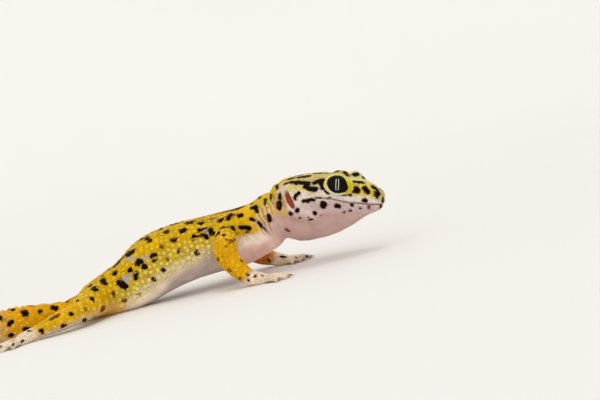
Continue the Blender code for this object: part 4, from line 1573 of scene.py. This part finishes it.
def standing_tree():
    """Geometry Nodes: a copy of a shape on each point, facing along the point's own direction."""
    group, tree, given = new_tree(
        "stand scales on roots", "GeometryNodeTree", Geometry="Geometry", Scale_shape="Object",
        Half_width_share="Float", Height="Float", Seed="Int", Material="Material",
    )
    group.interface.new_socket("Geometry", in_out="OUTPUT", socket_type="NodeSocketGeometry")

    def stored(name, kind):
        reader = tree.add("GeometryNodeInputNamedAttribute", {"Name": name}, data_type=kind)
        return reader.outputs["Attribute"]

    facing = {"Vector": stored("facing", "FLOAT_VECTOR")}
    upright = tree.add("FunctionNodeAlignRotationToVector", facing, axis="Z")
    full_turn = {3: 2 * math.pi, "Seed": given["Seed"]}
    twist = tree.add("FunctionNodeRandomValue", full_turn, data_type="FLOAT").outputs[1]
    spin = tree.add("FunctionNodeAxisAngleToRotation", {"Axis": UP, "Angle": twist}).outputs["Rotation"]
    turning = {"Rotation": upright.outputs["Rotation"], "Rotate By": spin}
    turned = tree.add("FunctionNodeRotateRotation", turning, rotation_space="LOCAL").outputs["Rotation"]
    half = tree.math("MULTIPLY", stored("width", "FLOAT"), given["Half width share"])
    high = tree.math("MULTIPLY", tree.math("MULTIPLY", half, given["Height"]), stored("tallness", "FLOAT"))
    size = tree.add("ShaderNodeCombineXYZ", {"X": half, "Y": half, "Z": high}).outputs["Vector"]
    shape = tree.add("GeometryNodeObjectInfo", {"Object": given["Scale shape"]}).outputs["Geometry"]
    copies = {"Points": given["Geometry"], "Instance": shape, "Rotation": turned, "Scale": size}
    stood = tree.add("GeometryNodeInstanceOnPoints", copies).outputs["Instances"]
    real = tree.add("GeometryNodeRealizeInstances", {"Geometry": stood}).outputs["Geometry"]
    painted = tree.add("GeometryNodeSetMaterial", {"Geometry": real, "Material": given["Material"]})
    tree.add("NodeGroupOutput", {"Geometry": painted.outputs["Geometry"]})
    return group


stand_scales = standing_tree()
print("tree inputs:", [item.name for item in stand_scales.interface.items_tree if item.in_out == "INPUT"])

# %% Unwrap the skin, so that each scale knows its place on it
UNWRAP_ANGLE, ISLAND_MARGIN = math.radians(66), 0.002


def unwrap_skin():
    """A flat map of the skin. Hands back the place on it of each triangle's middle."""
    skin.data.uv_layers.new(name="skin_map")
    bpy.context.view_layer.objects.active = skin
    skin.select_set(True)
    bpy.ops.object.mode_set(mode="EDIT")
    bpy.ops.mesh.select_all(action="SELECT")
    bpy.ops.uv.smart_project(angle_limit=UNWRAP_ANGLE, island_margin=ISLAND_MARGIN)
    bpy.ops.object.mode_set(mode="OBJECT")
    corners = read(skin.data.uv_layers["skin_map"].data, "uv", 2)
    starts = read(skin.data.polygons, "loop_start", kind=np.int32)
    return (corners[starts] + corners[starts + 1] + corners[starts + 2]) / 3


face_on_map = unwrap_skin()
print("unwrapped triangles:", len(face_on_map), "on a map up to", face_on_map.max(0).round(3))

# %% [markdown]
# ## Markings in the shader
# Skin and tubercles share one shader group. It takes the ground colour and the three depths, shifts the
# depths by a fine noise so that no edge is drawn with a ruler, and lays lavender, rust and black over the
# ground. A brown shadow runs just outside each black spot, as it does on the animal.

# %% The group that draws the markings
LAVENDER_SKIN, RUST_MARK = tint(172, 166, 176), tint(92, 38, 8)
BLACK_SKIN, SPOT_SHADOW = tint(14, 5, 3), tint(120, 72, 20)
LAYERS = (
    # which depth, colour, depths where the layer begins and is full, how strong it is
    ("Lavender", LAVENDER_SKIN, -0.30, 0.25, 0.85),
    ("Rust", RUST_MARK, -0.28, 0.20, 0.92),
    ("Black", SPOT_SHADOW, -0.45, 0.02, 0.60),
    ("Black", BLACK_SKIN, -0.12, 0.10, 1.0),
)


def markings_group():
    """The ground colour with the layers of the markings over it."""
    group, tree, given = new_tree(
        "gecko markings", "ShaderNodeTree", Ground="Color", Black="Float", Rust="Float", Lavender="Float",
        Raggedness="Float",
    )
    group.interface.new_socket("Colour", in_out="OUTPUT", socket_type="NodeSocketColor")
    noise = tree.math("SUBTRACT", tree.noise(1150.0, 3.0, tree.place()), 0.5)
    ragged = tree.math("MULTIPLY", noise, given["Raggedness"])
    colour = given["Ground"]
    for name, over_colour, low, high, most in LAYERS:
        shifted = tree.math("ADD", given[name], ragged)
        colour = tree.mixed(tree.soft_step(shifted, low, high, 0.0, most), colour, over_colour)
    tree.add("NodeGroupOutput", {"Colour": colour})
    return group


gecko_markings = markings_group()
print("markings group has", len(gecko_markings.nodes), "nodes")

# %% [markdown]
# The skin between the tubercles is finely pebbled. The pebbles' seams, and the dips between the belly's
# rows, are darkened with the relief: painted shade in the hollows. On the belly the small scales lie in rows
# across it, and the throat is nearly smooth: the attributes say where. The tubercles get paler down the flank
# instead, and their own relief is so fine that it only dulls the shine.

# %% Skin and scale materials
PALE_TUBERCLE = tint(240, 216, 118)
BELLY_ROWS = {"Scale": 540.0, "Distortion": 4.0, "Detail Scale": 1.2}
ROW_HEIGHT = 0.26
LIVING_SKIN = {
    "Specular IOR Level": 0.05, "Subsurface Weight": 0.12, "Subsurface Radius": (1.0, 0.5, 0.25),
    "Subsurface Scale": 0.0008,
}


def marked_material(name, on_skin, raggedness, roughness, pebbles_a_metre, pebble_depth):
    """A dry, faintly shiny hide with the gecko's markings and fine pebbly scales."""
    material, tree, shader = new_material(name)
    place = tree.place()
    voronoi = {"Vector": place, "Scale": pebbles_a_metre, "Randomness": 0.75}
    relief = tree.add("ShaderNodeTexVoronoi", voronoi).outputs["Distance"]
    clouds = tree.noise(260.0, 4.0, place)
    ground = tree.valued(tree.stored("ground", "Color"), tree.soft_step(clouds, 0.3, 0.7, 0.86, 1.08))
    if on_skin:
        rows = tree.add("ShaderNodeTexWave", {"Vector": place, **BELLY_ROWS}).outputs["Fac"]
        row_relief = tree.math("MULTIPLY", tree.math("MULTIPLY", rows, ROW_HEIGHT), tree.stored("belly_rows"))
        relief = tree.math("ADD", tree.math("MULTIPLY", relief, tree.stored("pebbly")), row_relief)
        # Darker where the relief sinks, in the pebbles' seams and between the belly's rows: painted shade.
        ground = tree.valued(ground, tree.soft_step(relief, 0.25, 0.75, 1.03, 0.74))
    else:
        ground = tree.mixed(tree.stored("paleness"), ground, PALE_TUBERCLE)
    drawing = {kind.capitalize(): tree.stored(kind) for kind in KINDS}
    drawing.update({"Ground": ground, "Raggedness": raggedness})
    tree.feed(shader, LIVING_SKIN)
    tree.feed(shader, {
        "Base Color": tree.add("ShaderNodeGroup", drawing, node_tree=gecko_markings).outputs["Colour"],
        "Roughness": tree.soft_step(clouds, 0.2, 0.8, roughness - 0.08, roughness + 0.1),
        "Normal": tree.bump(relief, pebble_depth, 0.9, invert=True),
    })
    return material


skin_material = marked_material("gecko skin", True, 1.00, 0.50, 2100.0, 0.15)
scale_material = marked_material("gecko tubercle", False, 0.80, 0.46, 3600.0, 0.04)
skin.data.materials.clear()
skin.data.materials.append(skin_material)
print("materials:", skin_material.name, "and", scale_material.name)

# %% [markdown]
# ## Stand the scales on their roots
# The roots become a mesh of points only, and each point keeps what its scale has to know: its size, its
# direction, its colour and the depths of the marks. It also keeps its place on the skin's flat map. Each
# scale then gets a small patch there of its own, in a map that is made for painting all of them on one
# sheet.

# %% What each root knows
MAP_PATCH = 0.003  # width of one scale's patch on the skin's map
GILDED = 0.45  # how far the tops of the back's tubercles go towards a clear yellow
PALE_ABOVE_BELLY = ((1.0, 0.80), (3.0, 0.45), (5.0, 0.14), (7.5, 0.0))  # height over the belly line, paleness
PALE_EVERYWHERE, PALE_ON_LEGS, PALE_ON_ARMS = 0.09, 0.16, 0.05


def part(indices, *starts):
    """1 for those of the skin's points that lie over these parts of the body, 0 for the others."""
    return (over(*starts) > 0)[indices].astype(int)


def paleness_of(body, under):
    """How pale each tubercle is: most low on the flank."""
    above_line = body[:, 2] - np.interp(body[:, 0], *zip(*BELLY_LINE))
    on_flank = part(under, "trunk") * (1 - smoothstep(-9.0, -4.5, body[:, 0]))
    pale = PALE_EVERYWHERE + np.interp(above_line, *zip(*PALE_ABOVE_BELLY)) * on_flank
    return pale + PALE_ON_LEGS * part(under, *LEG) + PALE_ON_ARMS * part(under, *ARM)


def root_mesh(name, roots):
    """A mesh of points only, with what each scale needs to know."""
    places = np.array(roots.places)
    mesh = bpy.data.meshes.new(name)
    mesh.from_pydata((places * MM).tolist(), [], [])
    triangles = [skin_tree.find_nearest(Vector(place * MM))[2] for place in places]
    under = read(skin.data.loops, "vertex_index", kind=np.int32).reshape(-1, 3)[triangles, 0]
    gilded = GILDED * part(under, "trunk", *ARM, "thigh")
    for attribute, values in (
        ("width", roots.widths), ("tallness", roots.tallness), ("facing", roots.facing),
        ("ground", opaque(blend(ground[under], TOP_YELLOW, gilded))), *mark_fields(places).items(),
        ("paleness", paleness_of(in_body(places), under)),
        ("on_map", np.column_stack((face_on_map[triangles], np.zeros(len(places))))),
    ):
        keep(mesh, attribute, values)
    return mesh


COAT = (
    # name, roots, height of a scale as a share of its half width
    ("tubercles_trunk", back_roots, 0.95),
    ("tubercles_tail", tail_scales, 1.1),
    ("scales_head", head_scales, 0.7),
    ("scales_snout", snout_scales, 0.55),
    ("tubercles_arms", arm_scales, 0.7),
    ("tubercles_legs", leg_scales, 0.8),
)
rooted = [new_piece(name + "_roots", root_mesh(name, roots)) for name, roots, _ in COAT]
print("each root knows its", [values.name for values in rooted[0].data.attributes])

# %% Stand them up
def stand(name, start, height_share, seed):
    """One coat piece: a scale on every root, as a plain mesh with its map."""
    modifier = start.modifiers.new("stand", "NODES")
    modifier.node_group = stand_scales
    settings = {
        "Scale shape": tubercle, "Half width share": 0.5 * MM, "Height": height_share, "Seed": seed,
        "Material": scale_material,
    }
    for item in stand_scales.interface.items_tree:
        if item.in_out == "INPUT" and item.name in settings:
            modifier[item.identifier] = settings[item.name]
    piece = applied(start, name)
    mesh = piece.data
    corner = read(mesh.loops, "vertex_index", kind=np.int32)
    home = read(mesh.attributes["on_map"].data, "vector", 3)[corner, :2]
    spread = home + read(mesh.uv_layers["patch"].data, "uv", 2) * MAP_PATCH / 2
    mesh.uv_layers.new(name="OFBake").data.foreach_set("uv", spread.astype(np.float32).ravel())
    mesh.uv_layers.remove(mesh.uv_layers["patch"])
    for left_over in ("on_map", "facing", "width", "tallness"):
        mesh.attributes.remove(mesh.attributes[left_over])
    return piece


coat = []
for seed, (start, (name, _, height_share)) in enumerate(zip(rooted, COAT), 1):
    coat.append(stand(name, start, height_share, seed))
bpy.data.objects.remove(tubercle)
for piece in coat:
    print(piece.name, len(piece.data.polygons), "faces")

# %% [markdown]
# ## Eyes
# The eye is one dark ball, wet on the outside. The pupil is an upright slit that stays narrow in bright
# light, and its edge is drawn by a thin pale line, which is partly the iris's own pale rim and partly a
# painted reflection. The iris is dark brown with paler veins that run out from the slit. The ball carries a
# flat map of its own front, in millimetres, so the slit and the veins are drawn on that map.

# %% Eyeballs
BALL_SHARE = 0.985  # the ball is a little smaller than the room that the lids leave
BALL_SEGMENTS, BALL_RINGS = 48, 32
PUPIL_LEAN = math.radians(8)  # the slit's top leans back
PUPIL_DROP = 0.33  # how far below the middle of the lids the pupil is


def make_eyeball(side_name):
    """A smooth ball whose poles lie on the eye's axis, with the map of its front."""
    ball = bmesh.new()
    bmesh.ops.create_uvsphere(ball, u_segments=BALL_SEGMENTS, v_segments=BALL_RINGS, radius=1.0)
    front = ball.loops.layers.uv.new("front")
    turned = np.column_stack((EYE_FORWARD, EYE_UP, EYE_AXIS))
    for vert in ball.verts:
        vert.co = Vector(turned @ np.array(vert.co) * BALL_RADII * BALL_SHARE)
    for face in ball.faces:
        face.smooth = True
        for corner in face.loops:
            local = np.array(corner.vert.co)
            ahead, above = local @ EYE_FORWARD, local @ EYE_UP + PUPIL_DROP
            corner[front].uv = (
                ahead * math.cos(PUPIL_LEAN) + above * math.sin(PUPIL_LEAN),
                above * math.cos(PUPIL_LEAN) - ahead * math.sin(PUPIL_LEAN),
            )
    for vert in ball.verts:
        local = (np.array(vert.co) + BALL_PLACE) * (1, SIDES[side_name], 1)
        vert.co = Vector(from_head(local)[0] * MM)
    ball.normal_update()  # the next line reads the normals, and the points have moved
    bmesh.ops.recalc_face_normals(ball, faces=ball.faces)
    return piece_from(ball, "eyeball_" + side_name)


IRIS_DARK, IRIS_VEIN = tint(3, 2, 2), tint(58, 46, 40)
SLIT_HALF_HEIGHT, SLIT_FADE, SLIT_NARROWING = 1.40, 0.15, 0.03
SLIT_LAYERS = (
    # half widths where the layer is full and where it ends, and its colour: the pale edge, partly the iris's
    # own pale rim and partly a painted reflection, then the pupil
    (0.40, 0.46, tint(226, 222, 208)), (0.26, 0.31, tint(4, 3, 3)),
)
WET_EYE = {
    "Roughness": 0.35, "Specular IOR Level": 0.0,
    "Coat Weight": 0.7, "Coat Roughness": 0.03, "Coat IOR": 1.20,
}


def eye_material():
    """Dark iris, slit pupil with a pale edge that is partly painted reflection, and a wet clear coat."""
    material, tree, shader = new_material("wet dark eye")
    front = tree.add("ShaderNodeUVMap", uv_map="front").outputs["UV"]
    parts = tree.add("ShaderNodeSeparateXYZ", {"Vector": front})
    wide, tall = (tree.math("ABSOLUTE", parts.outputs[axis]) for axis in "XY")
    stretched = tree.add("ShaderNodeMapping", {"Vector": front, "Scale": (1.1, 3.2, 1.0)}).outputs["Vector"]
    colour = tree.ramp(tree.noise(2.2, 5.0, stretched), (0.50, IRIS_DARK), (0.80, IRIS_VEIN))
    # The slit is a box with soft sides, and its width shrinks towards its ends.
    from_middle = tree.math("ADD", wide, tree.math("MULTIPLY", tall, SLIT_NARROWING))
    past_end = tree.soft_step(tall, SLIT_HALF_HEIGHT, SLIT_HALF_HEIGHT + SLIT_FADE)
    outside = tree.math("ADD", from_middle, past_end)
    for inner, outer, over_colour in SLIT_LAYERS:
        colour = tree.mixed(tree.soft_step(outside, inner, outer, 1.0, 0.0), colour, over_colour)
    tree.feed(shader, {"Base Color": colour, **WET_EYE})
    return material


wet_dark_eye = eye_material()
eyeballs = {name: make_eyeball(name) for name in SIDES}
for eyeball in eyeballs.values():
    eyeball.data.materials.append(wet_dark_eye)
print("eyeballs:", [len(eyeball.data.polygons) for eyeball in eyeballs.values()])

# %% [markdown]
# ## Ear drums
# The bottom of each ear slit is a taut brick-red membrane. It is a narrow strip that follows the slit and
# bulges a little in the middle, set just above the sunken skin.

# %% Ear membranes
DRUM_HALF_WIDTH, DRUM_STEPS, DRUM_ACROSS = 0.95, 14, 8
DRUM_BULGE, DRUM_SUNK = 0.10, 0.42


def make_drum(side_name):
    """A strip along the ear slit, with a back that lies on its front."""
    top, middle, bottom = ear_lines[side_name]
    outwards = head_left * SIDES[side_name]
    across = unit(np.cross(unit(bottom - top), outwards))
    shape = bmesh.new()
    rows = []
    for step in range(DRUM_STEPS + 1):
        along = 2 * step / DRUM_STEPS - 1
        centre = middle + (top - middle) * max(0.0, -along) + (bottom - middle) * max(0.0, along)
        width = DRUM_HALF_WIDTH * math.sqrt(max(0.02, 1 - along**2 * 0.9))
        row = []
        for k in range(DRUM_ACROSS + 1):
            sideways = 2 * k / DRUM_ACROSS - 1
            raised = DRUM_BULGE * (1 - sideways**2) - DRUM_SUNK
            place = centre + across * width * sideways + outwards * raised
            row.append(shape.verts.new(Vector(place * MM)))
        rows.append(row)
    bridge(shape, rows)
    bmesh.ops.solidify(shape, geom=shape.faces[:], thickness=0.0)
    bmesh.ops.recalc_face_normals(shape, faces=shape.faces)
    return piece_from(shape, "ear_membrane_" + side_name)


def plain_material(name, dark, light, grains_a_metre, roughness, grain_depth):
    """Two colours mixed by a fine noise, with the noise as relief."""
    material, tree, shader = new_material(name)
    grain = tree.noise(grains_a_metre, 4.0, tree.place())
    colour = tree.ramp(grain, (0.35, dark), (0.68, light))
    tree.feed(shader, {"Base Color": colour, "Normal": tree.bump(grain, grain_depth), "Roughness": roughness})
    return material


drum_material = plain_material("ear drum", tint(168, 54, 26), tint(206, 92, 56), 1800.0, 0.6, 0.12)
drums = {name: make_drum(name) for name in SIDES}
for drum in drums.values():
    drum.data.materials.append(drum_material)
print("ear membranes:", [len(drum.data.polygons) for drum in drums.values()])

# %% [markdown]
# ## Claws
# Each claw is a thin horn: a ring of corners that moves forward and down along a curve and shrinks to a
# point. It starts inside the digit's pad, so that no gap shows between them.

# %% Claws as pieces of their own
CLAW_SIDES, CLAW_STEPS, CLAW_ROOT_RADIUS, CLAW_TIP_RADIUS = 8, 7, 0.27, 0.035
CLAW_ROOT_HEIGHT, CLAW_TIP_HEIGHT = 0.60, 0.10
CLAW_ROOTED = 1.25  # the horn's whole length, as a share of the length that shows


def add_claw(shape, tip, direction):
    """A thin horn that leaves the pad high up and curves down to the floor."""
    sideways = np.cross(UP, direction)
    rows = []
    for step in range(CLAW_STEPS):
        share = step / (CLAW_STEPS - 1)
        height = CLAW_TIP_HEIGHT + (CLAW_ROOT_HEIGHT - CLAW_TIP_HEIGHT) * (1 - share**2)
        radius = CLAW_ROOT_RADIUS + (CLAW_TIP_RADIUS - CLAW_ROOT_RADIUS) * share
        middle = tip * (1, 1, 0) - direction * CLAW * CLAW_ROOTED * (1 - share) + UP * height
        ring = [
            middle + sideways * radius * math.cos(turn) + UP * radius * math.sin(turn)
            for turn in full_circle(CLAW_SIDES)
        ]
        rows.append([shape.verts.new(Vector(place * MM)) for place in ring])
    bridge(shape, rows, closed=True)
    shape.faces.new(rows[0])
    shape.faces.new(rows[-1])


claw_shape = bmesh.new()
for tips in claws.values():
    for tip, direction in tips:
        add_claw(claw_shape, tip, direction)
bmesh.ops.recalc_face_normals(claw_shape, faces=claw_shape.faces)
all_claws = piece_from(claw_shape, "claws")
claw_horn = plain_material("claw horn", tint(70, 52, 40), tint(176, 156, 130), 900.0, 0.35, 0.02)
all_claws.data.materials.append(claw_horn)
print("claws:", sum(len(tips) for tips in claws.values()))

# %% [markdown]
# ## The pieces on the body
# Every piece rides on the one body of this still model. The skin stands for all the flesh, the eyeballs for
# the eye solids and the membranes for the ear solids, and these solids are hidden.

# %% Bodies and hidden solids
pieces = [skin, *coat, *eyeballs.values(), *drums.values(), all_claws]
for piece in pieces:
    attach(piece, "root")
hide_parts(*FLESH)
for name in SIDES:
    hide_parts("eye_" + name)
    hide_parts("ear_" + name)


print("pieces:", len(pieces), "triangles:", sum(len(f.vertices) - 2 for p in pieces for f in p.data.polygons))
